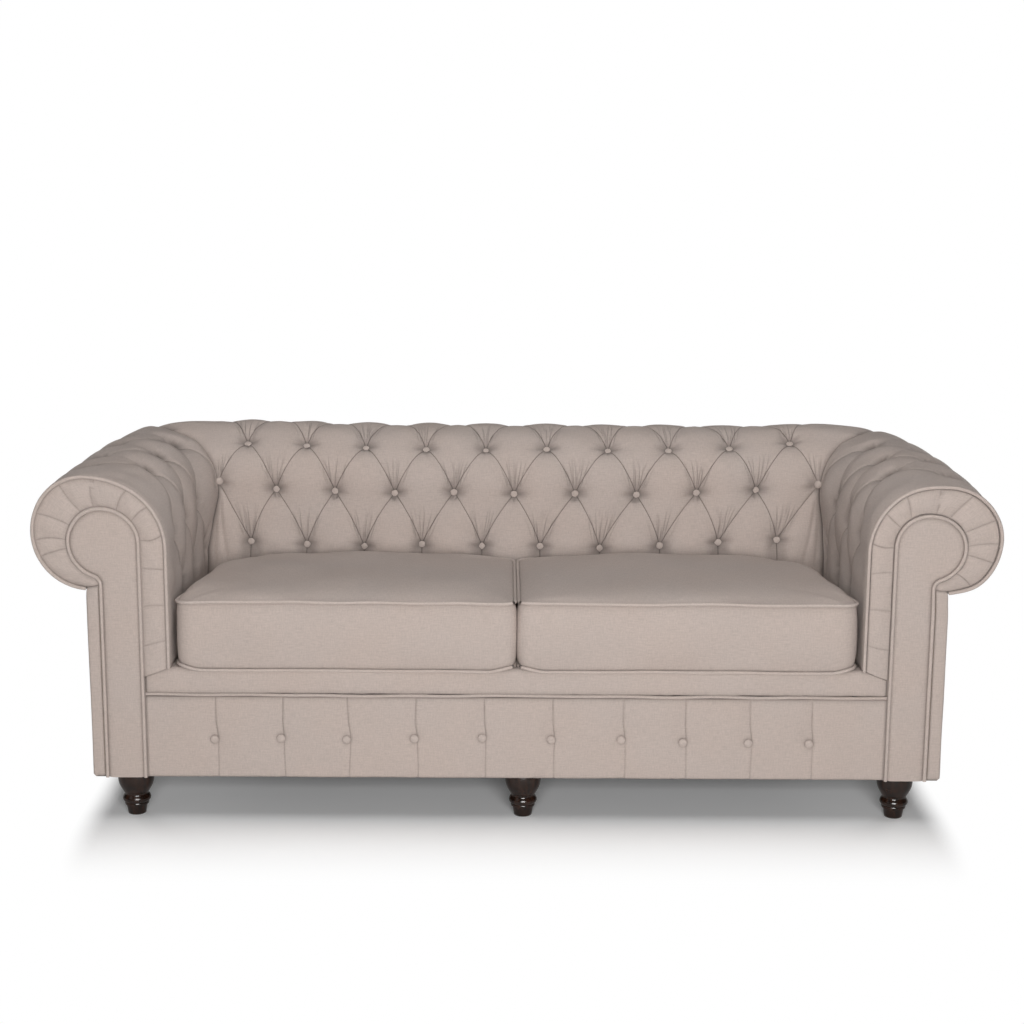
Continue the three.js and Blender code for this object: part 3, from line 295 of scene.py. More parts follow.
class Finish:
    """A material in the making."""

    def __init__(self, name):
        self.material = bpy.data.materials.new(name)
        self.material.use_nodes = True
        self.tree = self.material.node_tree
        self.tree.nodes.clear()

    def node(self, kind, settings=None, values=None, out=0):
        """Adds a node, applies its settings, fills its sockets, and returns one output."""
        made = self.tree.nodes.new(kind)
        for key, value in (settings or {}).items():
            if key == "stops":
                self.set_stops(made.color_ramp, value)
            else:
                setattr(made, key, value)
        for key, value in (values or {}).items():
            if isinstance(value, Socket):
                self.tree.links.new(value.socket, made.inputs[key])
            else:
                made.inputs[key].default_value = value
        return Socket(self, made.outputs[out])

    @staticmethod
    def set_stops(ramp, stops):
        while len(ramp.elements) > 1:
            ramp.elements.remove(ramp.elements[-1])
        for place, colour in stops[1:]:
            ramp.elements.new(place).color = (*colour, 1)
        ramp.elements[0].position = stops[0][0]
        ramp.elements[0].color = (*stops[0][1], 1)

    def mix(self, share, a, b, blend="MIX"):
        """Colour a turned into colour b by a share."""
        full = [value if isinstance(value, Socket) else (*value, 1) for value in (a, b)]
        settings = {"data_type": "RGBA", "blend_type": blend}
        return self.node("ShaderNodeMix", settings, {0: share, 6: full[0], 7: full[1]}, out=2)

    def noise(self, place, scale, detail=2.0, roughness=0.5, distortion=0.0):
        values = {
            "Vector": place, "Scale": scale, "Detail": detail, "Roughness": roughness,
            "Distortion": distortion}
        return self.node("ShaderNodeTexNoise", None, values)

    def stretched(self, place, sizes):
        return self.node("ShaderNodeMapping", None, {"Vector": place, "Scale": sizes})

    def attribute(self, name):
        return self.node("ShaderNodeAttribute", {"attribute_name": name}, out=2)

    def bump(self, height, distance, normal=None):
        values = {"Height": height, "Distance": distance, "Strength": 1.0}
        if normal:
            values["Normal"] = normal
        return self.node("ShaderNodeBump", None, values)

    def surface(self, **values):
        named = {key.replace("_", " "): value for key, value in values.items()}
        shader = self.node("ShaderNodeBsdfPrincipled", None, named)
        self.finish_with(shader)
        return self.material

    def finish_with(self, shader):
        output = self.tree.nodes.new("ShaderNodeOutputMaterial")
        self.tree.links.new(shader.socket, output.inputs["Surface"])


# finishes

THREAD = 0.0013
SLUB_ACROSS = (45, 560, 1)
SLUB_UP = (520, 60, 1)
WEAVE_RELIEF = 0.00045
FOLD_RELIEF = 0.0018
WEBBING_RIB = 0.0025
COLUMN_RUN, ROW_RISE = 0.074, 0.125
TAUPE = (0.485, 0.411, 0.373)
LINING = (0.40, 0.35, 0.31)
WARMER = (1.035, 1.0, 0.975)
FOLD_SHADE = (0.085, 0.060, 0.048)


def tinted(colour, amount):
    return tuple(min(channel * amount, 1) for channel in colour)


def weave(cloth, colour, bias):
    """Colour and relief of a plain weave with slubs, on the piece's own cloth map in metres."""
    place = cloth.node("ShaderNodeUVMap", {"uv_map": "cloth"})
    if bias:
        place = cloth.node("ShaderNodeMapping", None, {"Vector": place, "Rotation": (0, 0, bias)})
    along = cloth.node("ShaderNodeSeparateXYZ", None, {0: place})
    up = along.other(1)
    warp = (along * (math.pi / THREAD)).sine()
    weft = (up * (math.pi / THREAD)).sine()
    over = (warp * weft).step(-0.2, 0.2)
    threads = abs(warp) * over + abs(weft) * (1 - over)
    slub_across = cloth.noise(cloth.stretched(place, SLUB_ACROSS), 1.0, 3.0)
    slub_up = cloth.noise(cloth.stretched(place, SLUB_UP), 1.0, 3.0)
    mottle = cloth.noise(place, 260.0, 4.0, 0.75)
    cloud = cloth.noise(place, 5.0, 2.0)
    shade = slub_across * 0.34 + slub_up * 0.30 + mottle * 0.36
    base = cloth.mix(shade.step(0.36, 0.64), tinted(colour, 0.90), tinted(colour, 1.09))
    warmer = cloth.mix(1.0, base, WARMER, "MULTIPLY")
    base = cloth.mix(cloud.step(0.3, 0.7, 0, 0.5), base, warmer)
    base = cloth.mix(threads.step(0.0, 0.55, 0.14, 0.0), base, tinted(colour, 0.5))
    return base, threads * 0.6 + shade * 0.9


def pleat_marks(cloth, base, normal, colour):
    """Painted shade along the fold lines of the lattice of pleats, on the wrinkles and in soft pools round each
    button, with the folds' and wrinkles' bump.
    """
    lattice = cloth.node("ShaderNodeUVMap", {"uv_map": "lattice"})
    first = cloth.node("ShaderNodeSeparateXYZ", None, {0: lattice})
    second = first.other(1)
    off_first, off_second = first - round(first), second - round(second)
    fold = abs(off_first).least(abs(off_second)).step(0.001, 0.009, 1.0, 0.0)
    beside = (off_first + off_second) * COLUMN_RUN
    above = (off_first - off_second) * ROW_RISE
    fan = beside / (above + 0.032)
    which = round(first) * 3.7 + round(second) * 9.1
    spread = cloth.node("ShaderNodeCombineXYZ", None, {0: fan * 6.8, 1: which, 2: above * 6.0})
    over = abs(cloth.noise(spread, 1.0, 1.0) - 0.5).step(0.0, 0.060, 1.0, 0.0)
    over = over * above.step(0.007, 0.018) * above.step(0.034, 0.096, 1.0, 0.0)
    over = over * abs(fan).step(0.30, 0.62, 1.0, 0.0)
    under = abs(cloth.noise(spread, 1.7, 1.0) - 0.5).step(0.0, 0.06, 1.0, 0.0)
    under = under * above.step(-0.030, -0.014) * above.step(-0.014, -0.008, 1.0, 0.0)
    under = under * abs(beside).step(0.006, 0.014, 1.0, 0.0)
    level = abs(above + abs(beside) * 0.12)
    # painted shade: a soft pool left and right of each button
    shade_pool = level.step(0.0, 0.017, 1.0, 0.0) * abs(beside).step(0.012, 0.040, 1.0, 0.0)
    weight = cloth.attribute("pleats")
    # painted shade: the pools and the wrinkles darken the cloth
    base = cloth.mix((shade_pool * 0.34 + (over + under) * 0.25) * weight, base, tinted(colour, 0.30))
    # painted shade: the fold lines drawn in dark brown
    base = cloth.mix(fold * weight * 0.62, base, FOLD_SHADE)
    return base, cloth.bump((fold + (over + under) * 0.85) * weight, -FOLD_RELIEF, normal)


def woven(name, colour, pleated=False, bias=0.0):
    """Upholstery cloth with painted shade: darker where a piece's shade value says that it turns into a seam, a crease
    or a dimple.
    """
    cloth = Finish(name)
    base, height = weave(cloth, colour, bias)
    # painted shade: where a piece's shade value is high, at seams, creases, dimples and edges, the cloth darkens to
    # about a quarter of its colour
    tuck = cloth.attribute("tuck")
    base = cloth.mix(tuck * 0.50 + (tuck ** 6) * 0.40, base, tinted(colour, 0.26))
    normal = cloth.bump(height, WEAVE_RELIEF)
    if pleated:
        base, normal = pleat_marks(cloth, base, normal, colour)
    return cloth.surface(
        Base_Color=base, Roughness=0.93, Specular_IOR_Level=0.22, Sheen_Weight=0.10, Sheen_Roughness=0.5,
        Normal=normal)


def stained_wood(name):
    """Near-black stain under gloss lacquer, with a trace of grain along the turning."""
    wood = Finish(name)
    place = wood.node("ShaderNodeTexCoord", None, None, out=3)
    grain = wood.noise(wood.stretched(place, (160, 160, 14)), 1.0, 4.0, 0.6, 0.6)
    worn = wood.noise(place, 60.0, 3.0)
    base = wood.mix(grain.step(0.38, 0.66), (0.0075, 0.0036, 0.0024), (0.030, 0.0125, 0.0072))
    base = wood.mix(worn.step(0.58, 0.76, 0, 0.35), base, (0.052, 0.020, 0.011))
    gloss = worn.step(0.3, 0.8, 0.16, 0.30)
    return wood.surface(
        Base_Color=base, Roughness=gloss, Coat_Weight=0.35, Coat_Roughness=0.06, Specular_IOR_Level=0.42,
        Normal=wood.bump(grain, 0.00012))


def planed_timber(name):
    timber = Finish(name)
    place = timber.node("ShaderNodeTexCoord", None, None, out=3)
    warped = timber.noise(timber.stretched(place, (3, 3, 3)), 1.0, 2.0)
    rings = timber.noise(timber.stretched(place, (6, 60, 60)), 1.0, 4.0, 0.6, 0.8)
    pores = timber.noise(timber.stretched(place, (30, 900, 900)), 1.0, 2.0)
    base = timber.mix(rings.step(0.35, 0.65), (0.42, 0.27, 0.13), (0.60, 0.43, 0.25))
    base = timber.mix(warped.step(0.3, 0.7, 0, 0.3), base, (0.50, 0.32, 0.17))
    return timber.surface(
        Base_Color=timber.mix(pores.step(0.55, 0.75, 0, 0.3), base, (0.30, 0.18, 0.09)),
        Roughness=pores.step(0.3, 0.7, 0.62, 0.8), Normal=timber.bump(rings + pores, 0.0003))


def foam(name):
    filling = Finish(name)
    place = filling.node("ShaderNodeTexCoord", None, None, out=3)
    cells = filling.noise(place, 700.0, 3.0, 0.7)
    aged = filling.noise(place, 6.0, 2.0)
    base = filling.mix(aged.step(0.3, 0.7), (0.74, 0.66, 0.44), (0.80, 0.74, 0.55))
    base = filling.mix(cells.step(0.4, 0.7, 0, 0.35), base, (0.50, 0.43, 0.26))
    return filling.surface(Base_Color=base, Roughness=0.95, Normal=filling.bump(cells, 0.0008))


def webbing(name):
    strap = Finish(name)
    place = strap.node("ShaderNodeTexCoord", None, None, out=3)
    along = strap.node("ShaderNodeSeparateXYZ", None, {0: place})
    turns = math.pi / WEBBING_RIB
    ribs = ((along * turns).sine() * (along.other(1) * turns).sine()).step(-0.4, 0.4)
    worn = strap.noise(place, 80.0, 3.0)
    base = strap.mix(ribs, (0.13, 0.12, 0.105), (0.21, 0.195, 0.17))
    base = strap.mix(worn.step(0.5, 0.8, 0, 0.3), base, (0.27, 0.25, 0.22))
    return strap.surface(Base_Color=base, Roughness=0.85, Normal=strap.bump(ribs, 0.0006))


def felt(name):
    felted = Finish(name)
    place = felted.node("ShaderNodeTexCoord", None, None, out=3)
    fibre = felted.noise(place, 900.0, 4.0, 0.7)
    patch = felted.noise(place, 30.0, 2.0)
    base = felted.mix(fibre.step(0.3, 0.7), (0.010, 0.010, 0.011), (0.030, 0.030, 0.032))
    base = felted.mix(patch.step(0.4, 0.7, 0, 0.3), base, (0.035, 0.033, 0.031))
    return felted.surface(Base_Color=base, Roughness=0.96, Normal=felted.bump(fibre, 0.0006))


CLOTH = woven("taupe_weave", TAUPE)
PLEATED = woven("taupe_weave_pleated", TAUPE, pleated=True)
# the piping's cloth, cut on the bias and a touch lighter than the cover as a painted highlight on the round welt
TRIM = woven("taupe_weave_bias", tinted(TAUPE, 1.04), bias=math.radians(45))
BUTTON_CLOTH = woven("taupe_weave_button", tinted(TAUPE, 1.01), bias=math.radians(20))
PLATFORM = woven("platform_lining", LINING)
FOOT_WOOD = stained_wood("near_black_stain")
TIMBER = planed_timber("planed_timber")
FOAM = foam("seat_foam")
WEBBING = webbing("woven_webbing")
FELT = felt("black_felt")
SLOT_OF = {
    "taupe_weave": "upholstery", "taupe_weave_pleated": "upholstery", "taupe_weave_button": "upholstery",
    "platform_lining": "upholstery", "taupe_weave_bias": "piping", "near_black_stain": "foot_wood",
}

# pieces


def finished(piece, material, body="sofa_body", stands_for=()):
    """Gives a piece its finish, its body and the CAD nodes it stands for."""
    piece.data.materials.clear()
    piece.data.materials.append(material)
    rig.ride(piece, body)
    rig.slot(piece, SLOT_OF[material.name])
    if stands_for:
        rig.replaces(piece, *stands_for)
    return piece


def points_of(piece):
    flat = np.empty(len(piece.data.vertices) * 3)
    piece.data.vertices.foreach_get("co", flat)
    return flat.reshape(-1, 3)


def place_points(piece, points):
    piece.data.vertices.foreach_set("co", np.asarray(points, float).ravel())
    piece.data.update()


def cloth_map(piece, across, up, name="cloth"):
    """Stores a map of the cloth, in metres, at the piece's corners."""
    corners = np.empty(len(piece.data.loops), int)
    piece.data.loops.foreach_get("vertex_index", corners)
    layer = piece.data.uv_layers.get(name) or piece.data.uv_layers.new(name=name)
    layer.uv.foreach_set("vector", np.column_stack((across, up))[corners].ravel())


def keep_value(piece, name, values):
    values = np.asarray(values, float)
    layer = piece.data.attributes.get(name) or piece.data.attributes.new(name, "FLOAT", "POINT")
    layer.data.foreach_set("value", values)


def new_sheet(name, across, up):
    """A flat grid to be shaped; returns it with each point's share across and up."""
    for old in (bpy.data.objects.get(name), bpy.data.meshes.get(name)):
        if old:
            raise ValueError(f"{name} is taken")
    bpy.ops.mesh.primitive_grid_add(x_subdivisions=across, y_subdivisions=up, size=2, calc_uvs=False)
    piece = bpy.context.object
    piece.name = piece.data.name = name
    shares = (points_of(piece)[:, :2] + 1) / 2
    return piece, shares[:, 0], shares[:, 1]


def choose(piece, *others):
    """Makes a piece the active one, and selects it and the others alone."""
    bpy.ops.object.select_all(action="DESELECT")
    for each in (piece, *others):
        each.select_set(True)
    bpy.context.view_layer.objects.active = piece


def joined(name, pieces):
    """Makes one named piece of several."""
    choose(*pieces)
    bpy.ops.object.join()
    whole = bpy.context.object
    whole.name = whole.data.name = name
    return whole


def edit(piece, *steps):
    """Runs mesh operators on a piece, all of it selected."""
    choose(piece)
    bpy.ops.object.mode_set(mode="EDIT")
    bpy.ops.mesh.select_all(action="SELECT")
    for operator, settings in steps:
        operator(**settings)
    bpy.ops.object.mode_set(mode="OBJECT")
    piece.select_set(False)


def turn_over(piece):
    edit(piece, (bpy.ops.mesh.flip_normals, {}))


def smooth_shaded(piece, angle=180):
    choose(piece)
    if angle >= 180:
        bpy.ops.object.shade_smooth()
    else:
        bpy.ops.object.shade_smooth_by_angle(angle=math.radians(angle))
    piece.select_set(False)


@contextmanager
def opened(piece):
    """Lends out a piece's mesh to be changed, and puts it back."""
    mesh = bmesh.new()
    mesh.from_mesh(piece.data)
    yield mesh
    mesh.to_mesh(piece.data)
    mesh.free()


def tuck_rim(piece, depth):
    """Turns the open edges of a shaped sheet inwards, as cloth is turned under at a seam."""
    with opened(piece) as mesh:
        mesh.normal_update()
        rim = [edge for edge in mesh.edges if edge.is_boundary]
        inward = {vert: vert.normal.copy() for edge in rim for vert in edge.verts}
        made = bmesh.ops.extrude_edge_only(mesh, edges=rim)["geom"]
        fresh = {vert for vert in made if isinstance(vert, bmesh.types.BMVert)}
        for vert in fresh:
            others = (edge.other_vert(vert) for edge in vert.link_edges)
            source = next(other for other in others if other not in fresh)
            vert.co = source.co - inward[source] * depth


def random_waves(seed, count, low, high):
    """Smooth seeded unevenness of a surface: a function of two lengths, within about -1 and 1."""
    draw = np.random.default_rng(seed)
    turns = draw.uniform(0, 2 * math.pi, count)
    lengths = draw.uniform(low, high, count)
    starts = draw.uniform(0, 2 * math.pi, count)

    def height(x, y):
        total = np.zeros(np.broadcast(x, y).shape)
        for turn, length, start in zip(turns, lengths, starts):
            total += np.sin((x * math.cos(turn) + y * math.sin(turn)) * 2 * math.pi / length + start)
        return total / math.sqrt(count)

    return height


def bell(value, width):
    return np.exp(-((value / width) ** 2))


def lengths_along(path):
    """Distance along a path to each of its points."""
    return np.concatenate(([0], np.cumsum(np.linalg.norm(np.diff(path, axis=0), axis=1))))


def arc(x, y, radius, angles):
    """Points on a circle about a centre."""
    return np.column_stack((x + radius * np.cos(angles), y + radius * np.sin(angles)))


def smoothstep(value, low, high):
    share = np.clip((value - low) / (high - low), 0, 1)
    return share * share * (3 - 2 * share)


# the roll round the arms and back

TUFT_ROWS = np.array([0.16, 0.306, 0.44, 0.617]) * COVER_LENGTH
BACK_PITCH = 0.1475
ARM_PITCH = 0.160
ARM_FIRST = 0.095

# where each row's buttons sit across the back, and how high up its cover; the outermost of the
# second row are sewn into the corners, and the last row is hidden behind the crown
BACK_BUTTONS = [
    ([-0.647, -0.511, -0.371, -0.230, -0.083, 0.059, 0.205, 0.352, 0.495, 0.638],
     [0.153, 0.146, 0.142, 0.148, 0.144, 0.144, 0.140, 0.147, 0.156, 0.163]),
    ([-0.743, -0.587, -0.443, -0.296, -0.152, -0.005, 0.144, 0.294, 0.441, 0.587, 0.743],
     [0.298, 0.280, 0.276, 0.272, 0.275, 0.271, 0.273, 0.271, 0.277, 0.284, 0.298]),
    ([-0.662, -0.516, -0.370, -0.222, -0.075, 0.075, 0.225, 0.375, 0.525, 0.676],
     [0.415, 0.408, 0.402, 0.397, 0.396, 0.401, 0.397, 0.398, 0.407, 0.426]),
    ([BACK_PITCH * k for k in range(-5, 6)], [TUFT_ROWS[3]] * 11),
]
ARM_CROWN_BUTTONS = {
    LEFT: ([-0.190, -0.015, 0.155], [0.432, 0.438, 0.434]),
    RIGHT: ([-0.205, -0.055, 0.105], [0.432, 0.454, 0.462]),
}


def arm_buttons(hand):
    """The same for an arm, from its front to the corner."""
    low = [ARM_FIRST - ARM_PITCH * k for k in (2, 1, 0)]
    between = [ARM_FIRST + ARM_PITCH * (0.5 - k) for k in (3, 2, 1, 0)]
    return [
        (low, [TUFT_ROWS[0]] * 3), (between, [*[TUFT_ROWS[1]] * 3, 0.298]), ARM_CROWN_BUTTONS[hand],
        (between, [TUFT_ROWS[3]] * 4),
    ]


# depth of the fold lines, of the hollow beside them, its width, the depth at a button, the width of a
# button's dimple, and how dark the painted shade on the fold lines is
BACK_RELIEF = (0.0030, 0.0046, 0.030, 0.0098, 0.026, 1.0)
ARM_RELIEF = (0.0048, 0.0072, 0.036, 0.0150, 0.026, 0.25)


def section(v, lean):
    """The cover's section: distance u out from the roll's centre line, height z, and direction."""
    v = np.asarray(v, float)
    z_face = COVER_FOOT_Z + v * math.cos(BACK_LEAN)
    lean_top = CROWN_Z + CROWN_R * math.sin(lean)
    up_crown = math.pi - np.arcsin(np.clip((z_face - CROWN_Z) / CROWN_R, -1, 1))
    past_face = v - FACE_LENGTH
    past_crown = past_face - CROWN_LENGTH
    past_flat = past_crown - CROWN_SET_IN
    angle = np.select(
        [past_face < 0, past_crown < 0],
        [up_crown, math.pi - BACK_LEAN - past_face / CROWN_R], math.pi / 2 - past_flat / ROLL_R)
    on_face = (past_face < 0) & (z_face <= lean_top)
    on_flat = (past_crown >= 0) & (past_flat < 0)
    on_roll = past_flat >= 0
    nu = np.select([on_face, on_flat], [-math.cos(lean), 0.0], np.cos(angle))
    nz = np.select([on_face, on_flat], [math.sin(lean), 1.0], np.sin(angle))
    u_face = -CROWN_SET_IN - CROWN_R / math.cos(lean) - (CROWN_Z - z_face) * math.tan(lean)
    parts = [on_face, on_flat, on_roll]
    u = np.select(parts, [u_face, past_crown - CROWN_SET_IN, ROLL_R * nu], -CROWN_SET_IN + CROWN_R * nu)
    z = np.select(parts, [z_face, HEIGHT + 0 * v, ROLL_Z + ROLL_R * nz], CROWN_Z + CROWN_R * nz)
    return u, z, nu, nz


def row_reach(v, is_arm):
    """How far a row of the cover runs: its straight length, its turn at the corner, and its end."""
    arm_u = section(v, 0.0)[0]
    back_u = section(v, BACK_LEAN)[0]
    turn = np.maximum(CORNER_R + arm_u, 0)
    inner = ROLL_Y + back_u if is_arm else ROLL_X + arm_u
    straight = np.where(turn > 0, CORNER_Y if is_arm else CORNER_X, inner)
    return turn, straight, straight + turn * math.pi / 4


def cover_point(s, v, sink, pull, is_arm):
    """A point of the arm's cover (right hand) or the back's, sunk below its smooth surface."""
    u, z, nu, nz = section(v, 0.0 if is_arm else BACK_LEAN)
    turn, straight, _ = row_reach(v, is_arm)
    away = s if is_arm else np.abs(s)
    curved = turn > 1e-6
    bend = np.where(curved, np.maximum(away - straight, 0) / np.maximum(turn, 1e-6), 0)
    reach = u - nu * sink
    height = z - nz * sink
    radius = CORNER_R + reach
    far = away + np.where(curved, 0, pull)
    if is_arm:
        x = np.where(bend > 0, CORNER_X + radius * np.cos(bend), ROLL_X + reach)
        y = np.where(bend > 0, CORNER_Y + radius * np.sin(bend), far)
        return np.column_stack((x, y, height))
    x = np.where(bend > 0, CORNER_X + radius * np.sin(bend), far)
    y = np.where(bend > 0, CORNER_Y + radius * np.cos(bend), ROLL_Y + reach)
    return np.column_stack((np.sign(s) * x, y, height))


def evened(s, v, rows, pitch, first):
    """The place in an even lattice that answers to a place among the buttons as they are sewn."""
    shifts, heights = [], []
    for number, (places, ups) in enumerate(rows):
        places = np.array(places)
        offset = 0.5 if number % 2 else 0.0
        even = (np.round((places - first) / pitch - offset) + offset) * pitch + first
        shifts.append(np.interp(s, places, places - even))
        heights.append(np.interp(s, places, ups))
    row = sum(np.clip((v - low) / (high - low), 0, 1) for low, high in zip(heights, heights[1:]))
    lower = np.minimum(np.floor(row), len(rows) - 2).astype(int)
    share = row - lower
    shifts, count = np.array(shifts), np.arange(len(s))
    shift = shifts[lower, count] * (1 - share) + shifts[lower + 1, count] * share
    height = np.interp(row, range(len(rows)), TUFT_ROWS)
    return s - shift, height + np.minimum(v - heights[0], 0) + np.maximum(v - heights[-1], 0)


def lattice_of(s, v, pitch, first):
    """The place in the lattice of pleats: whole numbers of a or b are pleats."""
    row = np.interp(v, TUFT_ROWS, [0, 1, 2, 3])
    share = row - np.floor(row)
    row = np.floor(row) + share - 0.32 * share * (1 - share)
    column = (s - first) / pitch
    return column + row / 2, column - row / 2, row, column


def creased(creases, draw, step, across, along, apart, known):
    """Adds one row's creases: ridges round each button, three folds above it and a wing on each side."""
    angle = np.arctan2(along, across)
    for _ in range(3):
        spokes = draw.integers(4, 9)
        phase = draw.uniform(0, 2 * math.pi) + step * draw.uniform(1.5, 4.0)
        ridge = np.cos(spokes * angle + phase) ** 3
        near = bell(apart, 0.034) * (1 - bell(apart, 0.010))
        creases = creases + 0.0012 * ridge * near
    for line in range(3):
        lean = draw.uniform(-0.25, 0.25) + 0.12 * np.sin(step * draw.uniform(2, 9))
        off = across - (line - 1) * 0.008 * (1 + 0.4 * np.sin(step * 5 + line)) - lean * along
        reach = bell(along - 0.030 - 0.012 * np.sin(step * 3 + line), 0.026)
        deep = 0.0030 * (0.6 + 0.4 * np.sin(step * 7 + line * 2))
        creases = creases + deep * bell(off, 0.0030) * reach * known
    wings = bell(along + 0.1 * np.abs(across), 0.008) * bell(across, 0.036)
    creases = creases + 0.0026 * wings * known
    return creases


def buttoned(s, v, pitch, first, limit, relief, seed, is_arm):
    """Depth of the buttoning below the smooth cover, with the painted shade of its dimples, folds and slots and the
    weights of its painted pleat marks.
    """
    groove, hollow, spread, pit, dimple_size, dark = relief
    a, b, row, column = lattice_of(s, v, pitch, first)
    within = 1 - smoothstep(limit(row, s), 0.012, 0.040)
    span = pitch * 0.87
    beyond = np.maximum(TUFT_ROWS[0] - v, 0) + np.maximum(v - TUFT_ROWS[-1], 0)
    share = row - np.floor(row)
    tight = 1 - 0.45 * np.sin(math.pi * share) - 0.35 * smoothstep(beyond, 0.0, 0.09)
    total = np.zeros_like(s)
    for place, way in ((a, 1), (b, -1)):
        signed = (place - np.round(place)) * span
        apart = np.abs(signed)
        lap = np.where(signed * way > 0, 0.0030, 0.0080)
        narrow = groove * np.exp(-apart / lap)
        wide = hollow * bell(apart, spread) * tight
        total = total + (narrow + wide) ** 3
    over_top = 0.55 * is_arm * smoothstep(row, 2.1, 2.6)
    depth = np.cbrt(total) * within * (0.55 + 0.45 * tight) * (1 - over_top)
    weight = within * (0.72 + 0.28 * tight)
    dimple = np.zeros_like(s)
    creases = np.zeros_like(s)
    draw = np.random.default_rng(seed)
    nearest = np.full_like(s, 1e3)
    for index, height in enumerate(TUFT_ROWS):
        offset = 0.5 if index % 2 else 0.0
        step = np.round(column - offset) + offset
        known = limit(np.full_like(s, float(index)), step * pitch + first) < 0.02
        across = (column - step) * pitch
        along = v - height
        apart = np.where(known, np.hypot(across, along), 1e3)
        nearest = np.minimum(nearest, apart)
        dimple = np.maximum(dimple, np.exp(-((apart / dimple_size) ** 1.5)))
        # on the arms' crown row: a slot beside each button, sunk a little and given a painted dark shadow
        if is_arm and index == 2:
            slot = bell(across - 0.019 - 0.2 * along, 0.012) * bell(along, 0.021) * known
        creases = creased(creases, draw, step, across, along, apart, known)
    wave = random_waves(seed + 1, 10, 0.07, 0.22)(s, v) * 0.0013
    depth = depth + pit * dimple + creases + wave * (1 - np.exp(-nearest / 0.03))
    weight = weight * (dark + (1 - dark) * bell(nearest, 0.045))
    # painted shade: darker in each dimple and where the folds sink deepest
    tuck = np.clip(dimple * 0.55 + (depth / (pit + groove)) ** 2 * 0.25, 0, 1)
    if is_arm:
        # the slot's small sink, and its painted shadow
        depth = depth + 0.006 * slot
        tuck = np.maximum(tuck, 0.96 * slot)
    return depth, tuck, weight, a, b


def lattice_tip(row):
    """How far the lattice's end stands out at a row: 0 on even rows, 1 on odd ones."""
    return 1 - np.abs(np.mod(row, 2) - 1)


def back_limit(row, s):
    return np.abs(s) - BACK_PITCH * (4.5 + 0.5 * lattice_tip(row))


def arm_limit(row, s):
    rear = s - (ARM_FIRST + ARM_PITCH * 0.5 * lattice_tip(row))
    front = (ARM_FIRST - ARM_PITCH * (2 + 0.5 * lattice_tip(row))) - s
    return np.maximum(rear, front)


def cover_rows(share):
    """Spends more rows where the cover is seen from in front than behind the cushions."""
    return np.interp(share, [0, 0.05, 0.76, 1], [0, 0.12, 0.60, COVER_LENGTH])


SEAM_DEPTH = 0.014
SWELL_HEIGHTS = [0.13, 0.20, 0.26, 0.34, 0.42, 0.455]
SWELLS = {
    LEFT: [0.0, 0.013, 0.027, 0.030, 0.026, 0.0],
    RIGHT: [0.0, 0.004, 0.013, 0.017, 0.018, 0.0],
}


def corner_swell(v, hand):
    """How far an arm's stuffing stands into the seat beside the mitre."""
    return np.interp(v, SWELL_HEIGHTS, SWELLS[hand])


def seam_depth(v, away):
    """How deep the mitre seam draws the cover in, at a distance from the seam."""
    calm = 1 - 0.55 * smoothstep(v, 0.50, 0.78)
    return SEAM_DEPTH * calm * (0.70 * np.exp(-away / 0.010) + 0.30 * np.exp(-away / 0.045))


CORNER_FOLDS = [
    # from (distance short of the seam, height up the cover) to the same, then depth and width
    ((0.010, 0.262), (0.046, 0.090), 0.0034, 0.0050),
    ((0.006, 0.255), (0.020, 0.070), 0.0030, 0.0045),
    ((0.075, 0.150), (0.082, 0.060), 0.0022, 0.0060),
    ((0.115, 0.135), (0.120, 0.060), 0.0016, 0.0055),
]


def folds_at(away, v, folds):
    """Depth of a list of straight soft folds."""
    depth = np.zeros_like(v)
    for (x0, y0), (x1, y1), deep, wide in folds:
        length = math.hypot(x1 - x0, y1 - y0)
        tx, ty = (x1 - x0) / length, (y1 - y0) / length
        along = ((away - x0) * tx + (v - y0) * ty) / length
        off = (away - x0) * ty - (v - y0) * tx
        ends = smoothstep(along, -0.08, 0.12) * (1 - smoothstep(along, 0.7, 1.12))
        depth = depth + deep * ends * bell(off, wide)
    return depth


def roll_change(s, v, away, is_arm):
    """How far the roll falls short of its round section at the rear corners, less how far it stands proud."""
    outer = np.sin(math.pi * np.clip((v - 0.46) / 0.40, 0, 1)) ** 2
    change = outer * 0.024 * bell(away, 0.20)
    if is_arm:
        return change - outer * 0.004 * smoothstep(away, 0.35, 0.50) * (1 - smoothstep(away, 0.68, 0.79))
    top = bell(v - 0.50, 0.07)
    left = 0.0085 * bell(away - 0.22, 0.20) * (s < 0)
    right = 0.0095 * bell(away - 0.15, 0.11) * (s > 0)
    return change - top * (left + right)


